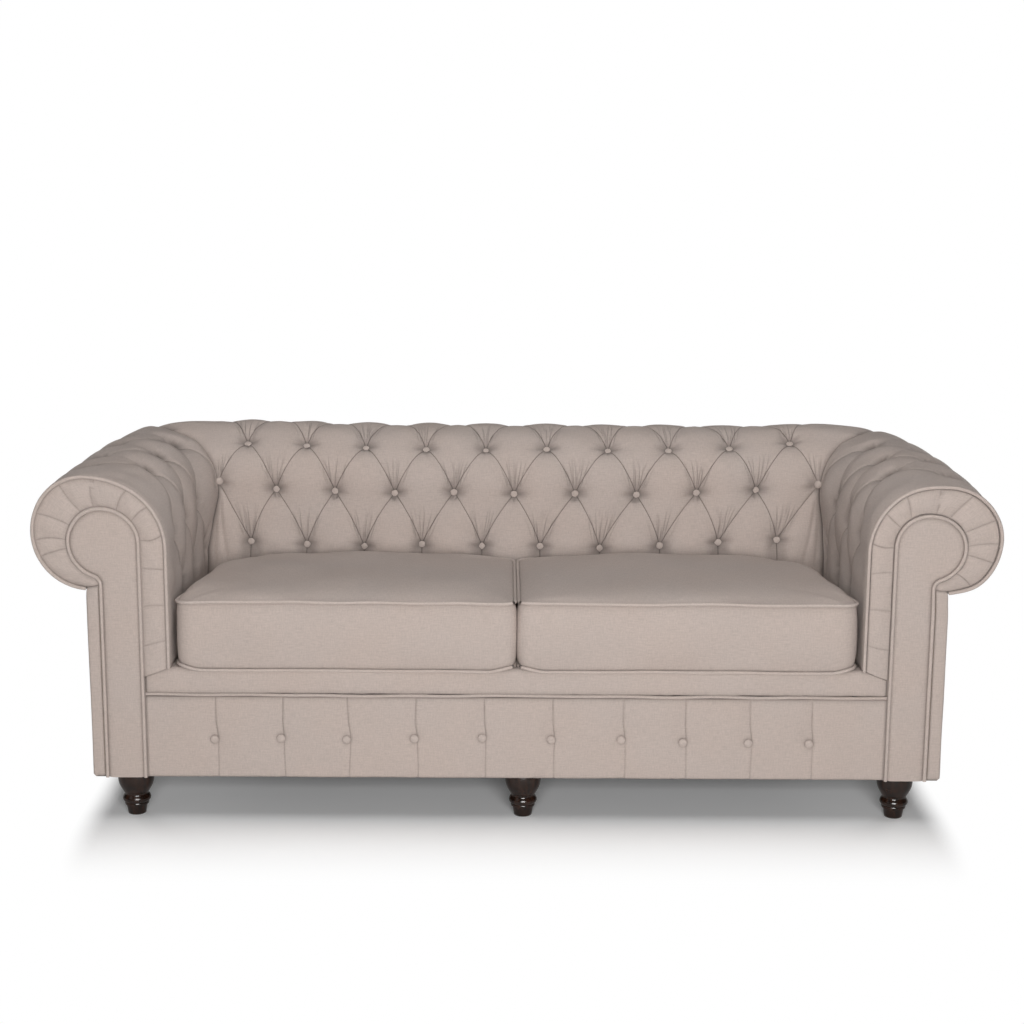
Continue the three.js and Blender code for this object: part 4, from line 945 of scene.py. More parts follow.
def cover_depths(s, v, is_arm, seed, hand=RIGHT):
    """Everything that shapes a cover and paints its shade: buttons, pleats, the mitre seam, folds and the front edge.
    """
    if is_arm:
        pitch, first, limit, rows, relief = ARM_PITCH, ARM_FIRST, arm_limit, arm_buttons(hand), ARM_RELIEF
    else:
        pitch, first, limit, rows, relief = BACK_PITCH, BACK_PITCH / 2, back_limit, BACK_BUTTONS, BACK_RELIEF
    even_s, even_v = evened(s, v, rows, pitch, first)
    depth, tuck, weight, a, b = buttoned(even_s, even_v, pitch, first, limit, relief, seed, is_arm)
    end = row_reach(v, is_arm)[2]
    away = np.maximum(end - (s if is_arm else np.abs(s)), 0)
    near = bell(away, 0.012)
    seam = seam_depth(v, away)
    depth = depth * (1 - near) + seam + folds_at(away, v, CORNER_FOLDS) * (1 - near)
    visible = smoothstep(v, 0.02, 0.10) * (1 - smoothstep(v, 0.44, 0.52))
    # painted shade: a dark line along the mitre seam, stronger where the cover is seen
    line = np.exp(-away / 0.003) if is_arm else bell(away, 0.014)
    tuck = np.maximum(tuck * (1 - near), (0.45 + 0.53 * visible) * line)
    pull = seam_depth(v, 0 * v) * np.exp(-away / 0.030)
    depth = depth + roll_change(s, v, away, is_arm)
    if is_arm:
        edge = s - FACE_Y
        calm = smoothstep(edge, 0.0, 0.05)
        depth = depth * (0.25 + 0.75 * calm) + 0.0035 * np.exp(-edge / 0.005)
        # painted shade along the arm's front edge, beside the welt
        tuck = np.maximum(tuck, 0.6 * np.exp(-edge / 0.004))
    return depth, np.clip(tuck, 0, 1), weight * (1 - near), a, b, pull, away


def cover_places(s, v, sink, pull, away, is_arm, hand=RIGHT):
    """Points of a cover, with the swell of the arms' stuffing beside the mitres."""
    if is_arm:
        points = cover_point(s, v, sink, pull, True)
        points[:, 0] -= corner_swell(v, hand) * bell(away, 0.070)
        points[:, 0] *= hand
        return points
    swell = np.where(s < 0, corner_swell(v, LEFT), corner_swell(v, RIGHT))
    return cover_point(s, v, sink, pull - swell * np.exp(-away / 0.045), False)


def shape_cover(piece, s, v, is_arm, seed, hand=RIGHT):
    depth, tuck, weight, a, b, pull, away = cover_depths(s, v, is_arm, seed, hand)
    place_points(piece, cover_places(s, v, depth, pull, away, is_arm, hand))
    # the painted shade, and the weight of the painted pleat marks
    keep_value(piece, "tuck", tuck)
    keep_value(piece, "pleats", weight)
    cloth_map(piece, s * hand + 3 * hand * is_arm, v)
    cloth_map(piece, a, b, "lattice")


def make_inside_back():
    piece, across, up = new_sheet("inside_back_cover", 420, 188)
    v = cover_rows(up)
    far = 2 * across - 1
    straight = BACK_PITCH * 4.5
    end = row_reach(v, False)[2]
    inner = np.abs(far) <= 0.8
    last = 1 - (1 - np.maximum(np.abs(far) - 0.8, 0) / 0.2) ** 1.5
    s = np.where(inner, far / 0.8 * straight, np.sign(far) * (straight + last * (end - straight)))
    shape_cover(piece, s, v, False, 11)
    tuck_rim(piece, 0.012)
    smooth_shaded(piece)
    finished(piece, PLEATED, stands_for=("inside_back", "back_roll_core"))
    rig.padded(piece, fill=0.85)


def make_inside_arm(hand):
    name = SIDES[hand]
    piece, across, up = new_sheet(f"inside_arm_cover_{name}", 200, 188)
    v = cover_rows(up)
    end = row_reach(v, True)[2]
    inner = across <= 0.76
    s = np.where(
        inner, FACE_Y + across / 0.76 * (ARM_FIRST - FACE_Y),
        ARM_FIRST + (1 - (1 - (across - 0.76) / 0.24) ** 1.7) * (end - ARM_FIRST))
    shape_cover(piece, s, v, True, 40 + hand, hand)
    if hand == RIGHT:
        turn_over(piece)
    tuck_rim(piece, 0.012)
    smooth_shaded(piece)
    finished(piece, PLEATED, stands_for=(f"inside_arm_{name}", f"arm_roll_core_{name}"))
    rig.padded(piece, fill=0.85)


# covered buttons

BUTTON_PROFILE = [(0.0076, -0.0034), (0.0094, -0.0016), (0.0097, 0.0004), (0.0090, 0.0022), (0.0070, 0.0036),
                  (0.0040, 0.0044), (0.0012, 0.0047)]
BUTTON_TILT = 0.09


def turned(name, profile, steps):
    """Turns a profile of (radius, height) round Z: a ring is added, drawn up and resized again and again."""
    radius, height = profile[0]
    bpy.ops.mesh.primitive_circle_add(vertices=steps, radius=radius, location=(0, 0, 0))
    piece = bpy.context.object
    piece.name = piece.data.name = name
    bpy.ops.object.mode_set(mode="EDIT")
    bpy.ops.mesh.select_all(action="SELECT")
    bpy.ops.transform.translate(value=(0, 0, height))
    for wide, high in profile[1:]:
        bpy.ops.mesh.extrude_edges_move(TRANSFORM_OT_translate={"value": (0, 0, high - height)})
        bpy.ops.transform.resize(value=(wide / radius, wide / radius, 1), center_override=(0, 0, high))
        radius, height = wide, high
    bpy.ops.mesh.edge_face_add()
    bpy.ops.mesh.select_all(action="SELECT")
    bpy.ops.mesh.normals_make_consistent(inside=False)
    bpy.ops.object.mode_set(mode="OBJECT")
    piece.select_set(False)
    return piece


def scatter(name, model, places, material, seed):
    """Copies a small model to each place (point, outward direction), and joins the copies."""
    draw = np.random.default_rng(seed)
    local = points_of(model)
    copies = []
    for number, (point, outward) in enumerate(places):
        copy = model.copy()
        copy.data = model.data.copy()
        bpy.context.collection.objects.link(copy)
        turn = Vector(outward).to_track_quat("Z", "Y").to_matrix()
        tilt, nod = (Matrix.Rotation(draw.uniform(-BUTTON_TILT, BUTTON_TILT), 3, axis) for axis in "XY")
        spin = Matrix.Rotation(draw.uniform(0, 2 * math.pi), 3, "Z")
        matrix = np.array(turn @ (tilt @ nod) @ spin)
        place_points(copy, local @ matrix.T + np.array(point))
        cloth_map(copy, local[:, 0] + number * 0.05, local[:, 1])
        # painted shade round each button's rim, where it meets the cover
        keep_value(copy, "tuck", 0.55 * smoothstep(np.hypot(local[:, 0], local[:, 1]), 0.0086, 0.0098))
        copies.append(copy)
    whole = joined(name, copies)
    smooth_shaded(whole)
    finished(whole, material)


def cover_buttons(rows, is_arm, seed, hand=RIGHT):
    """Places and directions of a cover's buttons, sunk as deep as its dimples."""
    places = []
    for columns, heights in rows:
        for s, v in zip(columns, heights):
            s, v = np.array([s]), np.array([v])
            depth, _, _, _, _, pull, away = cover_depths(s, v, is_arm, seed, hand)
            point = cover_places(s, v, depth - 0.0022, pull, away, is_arm, hand)[0]
            outer = cover_places(s, v, depth - 0.02, pull, away, is_arm, hand)[0]
            places.append((point, outer - point))
    return places


CORNER_BUTTON_V = 0.298
CORNER_BUTTON_X, CORNER_BUTTON_Y, CORNER_BUTTON_Z = 0.7525, 0.1760, 0.638


def make_cover_buttons(model):
    first, second, *others = BACK_BUTTONS
    inner = (second[0][1:-1], second[1][1:-1])
    scatter("back_buttons", model, cover_buttons([first, inner, *others], False, 11), BUTTON_CLOTH, 3)
    for hand in (LEFT, RIGHT):
        low, second, *others = arm_buttons(hand)
        loose = (second[0][:-1], second[1][:-1])
        places = cover_buttons([low, loose, *others], True, 40 + hand, hand)
        swell = float(corner_swell(CORNER_BUTTON_V, hand))
        corner = np.array([(CORNER_BUTTON_X - swell) * hand, CORNER_BUTTON_Y, CORNER_BUTTON_Z])
        places.append((corner, np.array([-0.60 * hand, -0.78, 0.16])))
        scatter(f"arm_buttons_{SIDES[hand]}", model, places, BUTTON_CLOTH, 7 + hand)


# piping


def tube(name, path, across, seed, closed=False):
    """A round welt along a flat path; across is the direction square to the path's plane."""
    path = np.asarray(path, float)
    if closed:
        tangent = np.roll(path, -1, axis=0) - np.roll(path, 1, axis=0)
    else:
        tangent = np.gradient(path, axis=0)
    tangent /= np.linalg.norm(tangent, axis=1)[:, None]
    across = np.asarray(across, float)
    side = np.cross(tangent, across)
    side /= np.linalg.norm(side, axis=1)[:, None]
    along = lengths_along(path)
    wobble = random_waves(seed + 5, 6, 0.03, 0.15)(along, 0 * along)
    piece, share_along, share_round = new_sheet(name, len(path) - 1, WELT_SIDES)
    step = np.rint(share_along * (len(path) - 1)).astype(int)
    turn = np.rint(share_round * WELT_SIDES).astype(int) % WELT_SIDES
    angle = turn * 2 * math.pi / WELT_SIDES
    wide = WELT_R * (1 + 0.03 * wobble[step])
    ways = np.cos(angle)[:, None] * side[step] + np.sin(angle)[:, None] * across
    points = path[step] + wide[:, None] * ways
    place_points(piece, points)
    cloth_map(piece, along[step], share_round * 2 * math.pi * WELT_R)
    keep_value(piece, "tuck", np.zeros(len(points)))
    edit(piece, (bpy.ops.mesh.remove_doubles, {"threshold": 0.00002}))
    if not closed:
        with opened(piece) as mesh:
            bmesh.ops.holes_fill(mesh, edges=[edge for edge in mesh.edges if edge.is_boundary], sides=0)
            bmesh.ops.recalc_face_normals(mesh, faces=mesh.faces)
    else:
        edit(piece, (bpy.ops.mesh.normals_make_consistent, {"inside": False}))
    smooth_shaded(piece, 60)
    return piece


# fronts of the arms

SCROLL_R = 0.0735
SCROLL_X = ROLL_X - 0.030
SCROLL_Z = ROLL_Z - 0.0195
NECK_R = 0.022
LEG_IN = SCROLL_X - SCROLL_R
LEG_OUT = LEG_IN + 0.0825
NECK_X = LEG_OUT + NECK_R
NECK_REACH = SCROLL_R + NECK_R
SCROLL_END = -math.acos((NECK_X - SCROLL_X) / NECK_REACH)
NECK_Z = SCROLL_Z + NECK_REACH * math.sin(SCROLL_END)
SEAM_DROP = 0.019
EDGE_SET = 2 * PIPE_R


def scroll_line(inset, steps=90):
    """The inner piping's line, set in towards the flat panel: x and z along it."""
    legs = 30
    up = np.column_stack((np.full(legs, LEG_IN + inset), np.linspace(BODY_Z, SCROLL_Z, legs + 1)[:-1]))
    scroll = arc(SCROLL_X, SCROLL_Z, SCROLL_R - inset, np.linspace(math.pi, SCROLL_END, steps))
    neck = arc(NECK_X, NECK_Z, NECK_R + inset, np.linspace(SCROLL_END + math.pi, math.pi, 14)[1:])
    down = np.column_stack((np.full(legs, LEG_OUT - inset), np.linspace(NECK_Z, BODY_Z, legs + 1)[1:]))
    return np.vstack((up, scroll, neck, down))


def edge_line(angles, inset):
    """The cover's front edge round the roll, set in."""
    crown = arc(ROLL_X - CROWN_SET_IN, CROWN_Z, CROWN_R - inset, angles)
    roll = arc(ROLL_X, ROLL_Z, ROLL_R - inset, angles)
    return np.where((angles > math.pi / 2)[:, None], crown, roll)


def front_points(line, y):
    return np.column_stack((line[:, 0], np.broadcast_to(y, len(line)), line[:, 1]))


PANEL_INSETS = np.array([-0.0052, 0.0012, 0.0040, 0.0054, 0.0072, 0.0100, 0.0150, 0.0230])
PANEL_DEPTHS = np.array([-0.0001, 0.0002, 0.0010, 0.0023, 0.0034, 0.0044, 0.0050, 0.0053])


def make_scroll_panel(hand):
    """The flat front of an arm: rings set in from the piping, rounded over, with a plain field."""
    name = SIDES[hand]
    lines = np.array([scroll_line(inset) for inset in PANEL_INSETS])
    last, count = len(PANEL_INSETS) - 1, len(lines[0])
    piece, around, inward = new_sheet(f"scroll_panel_{name}", count - 1, last)
    ring = np.rint(inward * last).astype(int)
    step = np.rint(around * (count - 1)).astype(int)
    spots = lines[ring, step]
    unevenness = random_waves(60 + hand, 8, 0.06, 0.2)(spots[:, 0], spots[:, 1])
    y = FACE_Y - 0.0005 - PANEL_DEPTHS[ring] - 0.0004 * unevenness * inward
    place_points(piece, np.column_stack((spots[:, 0] * hand, y, spots[:, 1])))
    # painted shade on the rings nearest the piping
    keep_value(piece, "tuck", 0.8 * np.exp(-np.maximum(PANEL_INSETS[ring] - 0.003, 0) / 0.0030))
    with opened(piece) as mesh:
        mesh.verts.ensure_lookup_table()
        inner = np.flatnonzero(ring == last)
        mesh.faces.new([mesh.verts[index] for index in inner[np.argsort(step[inner])]])
        bmesh.ops.recalc_face_normals(mesh, faces=mesh.faces)
    flat = points_of(piece)
    cloth_map(piece, flat[:, 0], flat[:, 2])
    if piece.data.polygons[0].normal.y > 0:
        turn_over(piece)
    smooth_shaded(piece, 40)
    finished(piece, CLOTH, stands_for=(f"arm_panel_{name}",))


# the band's gathers: heights up the leg, and angles round the scroll at its inner and outer edges
LEG_PLEATS = [0.400, 0.482, 0.562]
SCROLL_PLEATS = {
    LEFT: [
        (174.9, 168.4), (140.6, 141.3), (112.4, 118.9), (77.1, 91.4), (55.5, 60.2), (28.4, 20.8), (4.8, -7.4),
        (-9.2, -25.5),
    ],
    RIGHT: [
        (179.3, 171.8), (145.9, 143.6), (124.2, 120.8), (84.6, 91.2), (62.0, 61.9), (27.6, 24.1), (4.4, -3.7),
        (-9.3, -24.8), (-44.0, -59.8),
    ],
}


BAND_LEG, BAND_TURN, BAND_NECK = 150, 400, 20
BAND_ANGLES = np.linspace(math.pi, SCROLL_END, BAND_TURN)


def band_lines():
    """The band's inner and outer edges, from the foot of the arm round to the neck."""
    foot = COVER_FOOT_Z
    share = np.linspace(0, 1, BAND_LEG + 1)[:-1]
    inner_leg = np.column_stack((
        np.full(BAND_LEG, LEG_IN - PIPE_R), foot - SEAM_DROP * (1 - share) + (SCROLL_Z - foot) * share))
    outer_leg = np.column_stack((np.full(BAND_LEG, ARM_FACE_X + EDGE_SET), foot + (CROWN_Z - foot) * share))
    inner_turn = arc(SCROLL_X, SCROLL_Z, SCROLL_R + PIPE_R, BAND_ANGLES)
    neck = np.linspace(SCROLL_END + math.pi, math.pi, BAND_NECK + 1)[1:]
    last = np.linspace(SCROLL_END, -WALL_ANGLE, BAND_NECK + 1)[1:]
    inner = np.vstack((inner_leg, inner_turn, arc(NECK_X, NECK_Z, NECK_R - PIPE_R, neck)))
    outer = np.vstack((outer_leg, edge_line(np.concatenate((BAND_ANGLES, last)), EDGE_SET)))
    return inner, outer


def band_pleats(hand, middle, along, draw):
    """Where each gather starts and ends along the band, and how strong it is."""
    pleats = []
    for z in LEG_PLEATS:
        at = float(np.interp(z, middle[:BAND_LEG, 1], along[:BAND_LEG]))
        pleats.append((at, at + draw.uniform(-0.004, 0.004), 0.5))
    turn = along[BAND_LEG:BAND_LEG + BAND_TURN]
    for pair in SCROLL_PLEATS[hand]:
        ends = [float(np.interp(-math.radians(angle), -BAND_ANGLES, turn)) for angle in pair]
        pleats.append((*ends, draw.uniform(0.75, 1.0)))
    return pleats


def make_scroll_band(hand):
    """The gathered band between the two lines of piping."""
    name = SIDES[hand]
    inner, outer = band_lines()
    middle = (inner + outer) / 2
    along = lengths_along(middle)
    draw = np.random.default_rng(70 + hand)
    pleats = band_pleats(hand, middle, along, draw)
    piece, run, across = new_sheet(f"scroll_band_cover_{name}", len(inner) - 1, 22)
    step = np.rint(run * (len(inner) - 1)).astype(int)
    spot = inner[step] * (1 - across)[:, None] + outer[step] * across[:, None]
    place = along[step]
    crown = 0.0062 * np.sin(math.pi * across) ** 0.6
    depth = np.zeros_like(place)
    tuck = np.zeros_like(place)
    for start, end, strength in pleats:
        bow = draw.uniform(-0.003, 0.003)
        off = place - start - (end - start) * across - bow * np.sin(math.pi * across)
        gather = 1 - 0.55 * across
        lap = np.where(off > 0, 0.0012, 0.0070)
        sharp = 0.0026 * np.exp(-np.abs(off) / lap)
        soft = 0.0022 * bell(off, 0.013) * gather
        depth += (sharp + soft) * strength
        # painted shade: a dark line along each gather
        tuck = np.maximum(tuck, 0.97 * np.exp(-np.abs(off) / 0.0014) * strength ** 0.4)
    puckers = random_waves(75 + hand, 7, 0.016, 0.030)(place, 0 * place)
    depth += 0.0009 * puckers * np.exp(-across / 0.20)
    depth += 0.0006 * random_waves(80 + hand, 8, 0.03, 0.12)(place, across * 0.05)
    y = np.minimum(FACE_Y - 0.0012 - crown + depth * np.minimum(1, crown / 0.005), FACE_Y - 0.0008)
    place_points(piece, np.column_stack((spot[:, 0] * hand, y, spot[:, 1])))
    # painted shade along both edges beside the piping, and at the band's end at the neck
    edges = 0.75 * (np.exp(-across / 0.035) + np.exp(-(1 - across) / 0.030))
    closing = 0.9 * np.exp(-(along[-1] - place) / 0.0020)
    keep_value(piece, "tuck", np.clip(np.maximum(np.maximum(tuck, edges), closing), 0, 1))
    cloth_map(piece, across * 0.055, place)
    tuck_rim(piece, 0.004)
    if piece.data.polygons[0].normal.y > 0:
        turn_over(piece)
    smooth_shaded(piece)
    finished(piece, CLOTH, stands_for=(f"scroll_band_{name}",))


def make_scroll_piping(hand):
    name = SIDES[hand]
    inner = scroll_line(0)
    angles = np.linspace(math.pi, -WALL_ANGLE, 150)
    leg = np.column_stack((np.full(30, ARM_FACE_X + PIPE_R), np.linspace(COVER_FOOT_Z, CROWN_Z, 31)[:-1]))
    outer = np.vstack((leg, edge_line(angles, PIPE_R)))
    for kind, line, seed in (("inner", inner, 1), ("outer", outer, 2)):
        path = front_points(line, PIPE_Y)
        path[:, 0] *= hand
        piece = tube(f"scroll_{kind}_welt_{name}", path, (0, 1, 0), seed + hand)
        finished(piece, TRIM, stands_for=(f"{kind}_piping_{name}",))


# front of the seat

APRON_X = LEG_IN - PIPE_R - 0.0003
APRON_TOP = 0.285
APRON_FACE = FRONT_Y + 0.010
APRON_BUTTONS = [
    (-0.654, 0.1842), (-0.510, 0.1868), (-0.368, 0.1847), (-0.221, 0.1878), (-0.074, 0.1900),
    (0.076, 0.1868), (0.228, 0.1873), (0.362, 0.1821), (0.504, 0.1815), (0.636, 0.1805),
]
SEAM_OFFSETS = [0.0006, 0.0013, 0.0022, 0.0034, 0.005, 0.0075, 0.011, 0.016, 0.024, 0.034]


def columns_near(marks, start, end, spacing):
    """Column places from start to end, closer together round each mark."""
    places = {start, end}
    for mark in marks:
        places.update([mark, *(mark + sign * offset for offset in SEAM_OFFSETS for sign in (-1, 1))])
    places = sorted(place for place in places if start <= place <= end)
    filled = []
    for a, b in zip(places, places[1:]):
        steps = max(1, math.ceil((b - a) / spacing))
        filled.extend(a + (b - a) * k / steps for k in range(steps))
    return np.array([*filled, end])


def make_apron():
    """The pleated front below the border, drawn in by one row of buttons."""
    draw = np.random.default_rng(21)
    lines = [
        (x + 0.007 + draw.uniform(-0.001, 0.001), draw.uniform(-0.0015, 0.0015))
        for x, _ in APRON_BUTTONS]
    places = columns_near([x for x, _ in lines], -APRON_X, APRON_X, 0.006)
    piece, across, up = new_sheet("apron_cover", len(places) - 1, 56)
    x = places[np.rint(across * (len(places) - 1)).astype(int)]
    z = BODY_Z + (APRON_TOP - 0.003 - BODY_Z) * up
    depth = 0.0007 * random_waves(22, 10, 0.08, 0.3)(x, z) + 0.0007
    tuck = np.zeros_like(x)
    for (line, slant), (button, height) in zip(lines, APRON_BUTTONS):
        rise = z - height
        bow = 0.0045 * smoothstep(rise, 0.0, 0.045)
        wander = slant * np.sin(rise * 34 + line * 40)
        off = x - line + bow * (rise > 0) * 0.8 + wander
        above = rise > 0
        lap = np.where(off > 0, 0.0016, np.where(above, 0.0075, 0.0045))
        deep = np.where(above, 0.0030, 0.0022)
        depth = depth + deep * np.exp(-np.abs(off) / lap)
        # painted shade: a dark line down each pleat, fainter below the button
        tuck = np.maximum(tuck, (0.95 - 0.25 * (rise < 0)) * np.exp(-np.abs(off) / 0.0010))
        apart = np.hypot(x - button, rise)
        dimple = np.exp(-((apart / 0.017) ** 1.6))
        beside = bell(x - button + 0.006, 0.014) * bell(rise - 0.035, 0.035)
        depth = depth + 0.0052 * dimple + 0.0022 * beside
        # painted shade in the dimple round each button
        tuck = np.maximum(tuck, 0.5 * np.exp(-((apart / 0.0125) ** 4)))
        for number in range(3):
            at = line - 0.010 - 0.019 * number + draw.uniform(-0.004, 0.004)
            tall = draw.uniform(0.018, 0.034)
            low = bell(z - BODY_Z, tall)
            depth = depth + draw.uniform(0.0004, 0.0013) * bell(x - at, draw.uniform(0.004, 0.008)) * low
    depth = depth + 0.002 * np.exp(-(z - BODY_Z) / 0.0022) + 0.0035 * np.exp(-(APRON_TOP - 0.003 - z) / 0.005)
    # painted shade under the apron's piping
    tuck = np.maximum(tuck, 0.6 * np.exp(-(APRON_TOP - 0.006 - z) / 0.004))
    place_points(piece, np.column_stack((x, APRON_FACE - 0.0012 + depth, z)))
    keep_value(piece, "tuck", np.clip(tuck, 0, 1))
    cloth_map(piece, x, z)
    tuck_rim(piece, 0.006)
    smooth_shaded(piece)
    finished(piece, CLOTH, stands_for=("apron",))
    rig.padded(piece, fill=0.95)


def make_apron_buttons(model):
    places = [((x, APRON_FACE + 0.0026, z - 0.0005), (0, -1, 0)) for x, z in APRON_BUTTONS]
    scatter("apron_buttons", model, places, BUTTON_CLOTH, 17)


def make_apron_piping():
    x = np.linspace(-APRON_X, APRON_X, 240)
    wobble = random_waves(31, 6, 0.12, 0.5)(x, 0 * x)
    path = np.column_stack((x, np.full_like(x, APRON_FACE + PIPE_R * 0.6), APRON_TOP + 0.0009 * wobble))
    piece = tube("apron_welt", path, (0, 1, 0), 33)
    finished(piece, TRIM, stands_for=("apron_piping",))


BORDER_FACE = FRONT_Y + 0.007
BORDER_ROUND = 0.014


def make_border():
    """The padded border between the apron and the cushions, rounded over its top edge."""
    low, top, rear = APRON_TOP + 0.0045, DECK_Z, BORDER_FACE + 0.046
    face, curve = BORDER_FACE, BORDER_ROUND
    profile = [(face + 0.0042, low), (face + 0.0014, low + 0.0012), (face + 0.0004, low + 0.004)]
    profile += [(face - 0.0010 * math.sin(math.pi * k / 8), low + 0.004 + k * 0.0045) for k in range(1, 8)]
    for k in range(0, 9):
        angle = math.pi - k * math.pi / 16
        profile.append((face + curve * (1 + math.cos(angle)), top - curve * (1 - math.sin(angle))))
    profile += [(face + curve + (rear - face - curve) * k / 5, top) for k in range(1, 6)]
    profile = np.array(profile)
    piece, across, up = new_sheet("front_border_cover", 300, len(profile) - 1)
    row = np.rint(up * (len(profile) - 1)).astype(int)
    y, z = profile[row, 0], profile[row, 1]
    slant = (z - (top - SEAM_DROP)) / SEAM_DROP
    reach = np.where(slant > 0, APRON_X + (ARM_FACE_X + EDGE_SET - APRON_X) * slant, APRON_X) - 0.0006
    x = (2 * across - 1) * reach
    soft = random_waves(41, 12, 0.10, 0.45)(x, z)
    gathers = random_waves(42, 8, 0.018, 0.05)(x, 0 * z) * np.exp(-(z - low) / 0.010)
    ends = np.exp(-(reach - np.abs(x)) / 0.004)
    mask = smoothstep(rear - y, 0.0, 0.012)
    y = y + (0.0011 * soft + 0.0007 * gathers) * mask + 0.0025 * ends
    z = z - 0.0007 * np.abs(soft) * mask
    place_points(piece, np.column_stack((x, y, z)))
    # painted shade along the border's lower edge and at its ends
    tuck = np.maximum(0.75 * np.exp(-(z - low) / 0.003), 0.8 * ends)
    keep_value(piece, "tuck", np.clip(tuck, 0, 1))
    cloth_map(piece, x, lengths_along(profile)[row])
    tuck_rim(piece, 0.004)
    smooth_shaded(piece)
    finished(piece, CLOTH, stands_for=("front_border",))
    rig.padded(piece, fill=0.9)


# flat outer covers

WALL_TOP = ROLL_Z - ROLL_R * math.sin(WALL_ANGLE) - 0.0003


def outer_cover(name, path, material, seed, round_foot, stands_for, tops=None):
    """A cloth-covered upright panel along a plan path, over thin wadding."""
    path = np.asarray(path, float)
    tops = np.full(len(path), WALL_TOP) if tops is None else tops
    along = lengths_along(path)
    tangent = np.gradient(path, axis=0)
    tangent /= np.linalg.norm(tangent, axis=1)[:, None]
    outward = np.column_stack((tangent[:, 1], -tangent[:, 0]))
    piece, across, up = new_sheet(name, len(path) - 1, 66)
    step = np.rint(across * (len(path) - 1)).astype(int)
    z = BODY_Z + (tops[step] - BODY_Z) * up
    soft = random_waves(seed, 10, 0.12, 0.5)(along[step], z)
    ends = np.minimum(along[step], along[-1] - along[step])
    edges = np.minimum(ends, np.minimum(z - BODY_Z, tops[step] - z))
    sink = 0.0003 + 0.0022 * np.exp(-edges / 0.003) + 0.0006 * (soft + 1) * smoothstep(edges, 0, 0.02)
    gathers = random_waves(seed + 1, 8, 0.02, 0.06)(along[step], 0 * z)
    sink = sink + 0.0009 * gathers * np.exp(-(z - BODY_Z) / 0.014) * (z > BODY_Z + 0.001)
    bent = np.maximum(round_foot - (z - BODY_Z), 0)
    foot = round_foot - np.sqrt(np.maximum(round_foot ** 2 - bent ** 2, 0))
    points = path[step] - outward[step] * (sink + foot)[:, None]
    place_points(piece, np.column_stack((points, z)))
    # painted shade along the panel's edges
    keep_value(piece, "tuck", 0.5 * np.exp(-edges / 0.0022))
    cloth_map(piece, along[step], z)
    tuck_rim(piece, 0.005)
    smooth_shaded(piece)
    finished(piece, material, stands_for=stands_for)
    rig.padded(piece, fill=1.0)
    return piece


def make_outside_covers():
    front = FACE_Y - 0.0063
    bend = 0.006
    tip = ROLL_R - EDGE_SET - 0.0003
    tip_x, tip_z = ROLL_X + tip * math.cos(WALL_ANGLE), ROLL_Z - tip * math.sin(WALL_ANGLE)
    start = LEG_OUT + PIPE_R + 0.0003
    strip = [(x, front) for x in np.linspace(start, WALL_X - bend, 7)[:-1]]
    turn = arc(WALL_X - bend, front + bend, bend, np.linspace(-math.pi / 2, 0, 7))
    wall = [(WALL_X, y) for y in np.linspace(front + bend, CORNER_Y - 0.0006, 104)[1:]]
    right = np.array([*strip, *turn, *wall])
    tops = np.interp(right[:, 0], [start, tip_x - 0.001, WALL_X], [NECK_Z - 0.0003, tip_z - 0.0003, WALL_TOP])
    stands_for = ("outside_arm_right",)
    outer_cover("outside_arm_cover_right", right, CLOTH, 51, 0.004, stands_for, tops)
    left = right[::-1] * (-1, 1)
    outer_cover("outside_arm_cover_left", left, CLOTH, 52, 0.004, ("outside_arm_left",), tops[::-1])
    radius = CORNER_R + WALL_SET_OUT
    back = [
        *arc(CORNER_X, CORNER_Y, radius, np.linspace(0, math.pi / 2, 17)),
        *[(x, CORNER_Y + radius) for x in np.linspace(CORNER_X, -CORNER_X, 230)[1:-1]],
        *arc(-CORNER_X, CORNER_Y, radius, np.linspace(math.pi / 2, math.pi, 17))]
    outer_cover("outside_back_cover", back, CLOTH, 53, 0.003, ("outside_back",))


# loose seat cushions

CUSHION_GAP = 0.0078
CUSHION_SIDE_GAP = 0.008
CUSHION_W = ARM_FACE_X - CUSHION_SIDE_GAP - CUSHION_GAP / 2
CUSHION_X = CUSHION_GAP / 2 + CUSHION_W / 2
CUSHION_FRONT = FRONT_Y + 0.005
LEAN_FOOT_Y = (
    ROLL_Y - CROWN_SET_IN - CROWN_R / math.cos(BACK_LEAN)
    - (CROWN_Z - COVER_FOOT_Z) * math.tan(BACK_LEAN))
CUSHION_D = LEAN_FOOT_Y - 0.007 - CUSHION_FRONT
CUSHION_Y = CUSHION_FRONT + CUSHION_D / 2
CUSHION_CORNER = 0.038
FRONT_INNER_CORNER = 0.026
REAR_OUTER_CORNER = 0.175
CUSHION_NARROWING = 0.048
CUSHION_FALL = 0.030
CUSHION_DRAW_IN = 0.005
LOWER_SEAM = DECK_Z + 0.0048
BOXING = 0.142
CROWN_RISE = 0.024
FRONT_SAG = 0.0090
LID_EDGE = 0.013
LID_OVERHANG = 0.0060
SEAM_ALLOWANCE = 0.003
SEAM_SHADE = 0.0035
BOX_ROWS = 18
CUSHION_CELLS = (round(CUSHION_W / 0.0088), round(CUSHION_D / 0.0088))
PRESS_LIMIT = 0.0045
PRESS_FRAMES = 20


def rear_share(y):
    return np.clip(y / CUSHION_D + 0.5, 0, 1)


def top_seam(y):
    """The cushion's top seam falls towards the rear."""
    return LOWER_SEAM + BOXING - CUSHION_FALL * rear_share(y)


def lower_seam(x, y):
    """The lower seam, which hangs over the border's round edge in front."""
    middle = 1 - smoothstep(np.abs(x), CUSHION_W / 2 - 0.060, CUSHION_W / 2 - 0.008)
    return LOWER_SEAM - FRONT_SAG * middle * (1 - smoothstep(y, 0.010 - CUSHION_D / 2, 0.024 - CUSHION_D / 2))


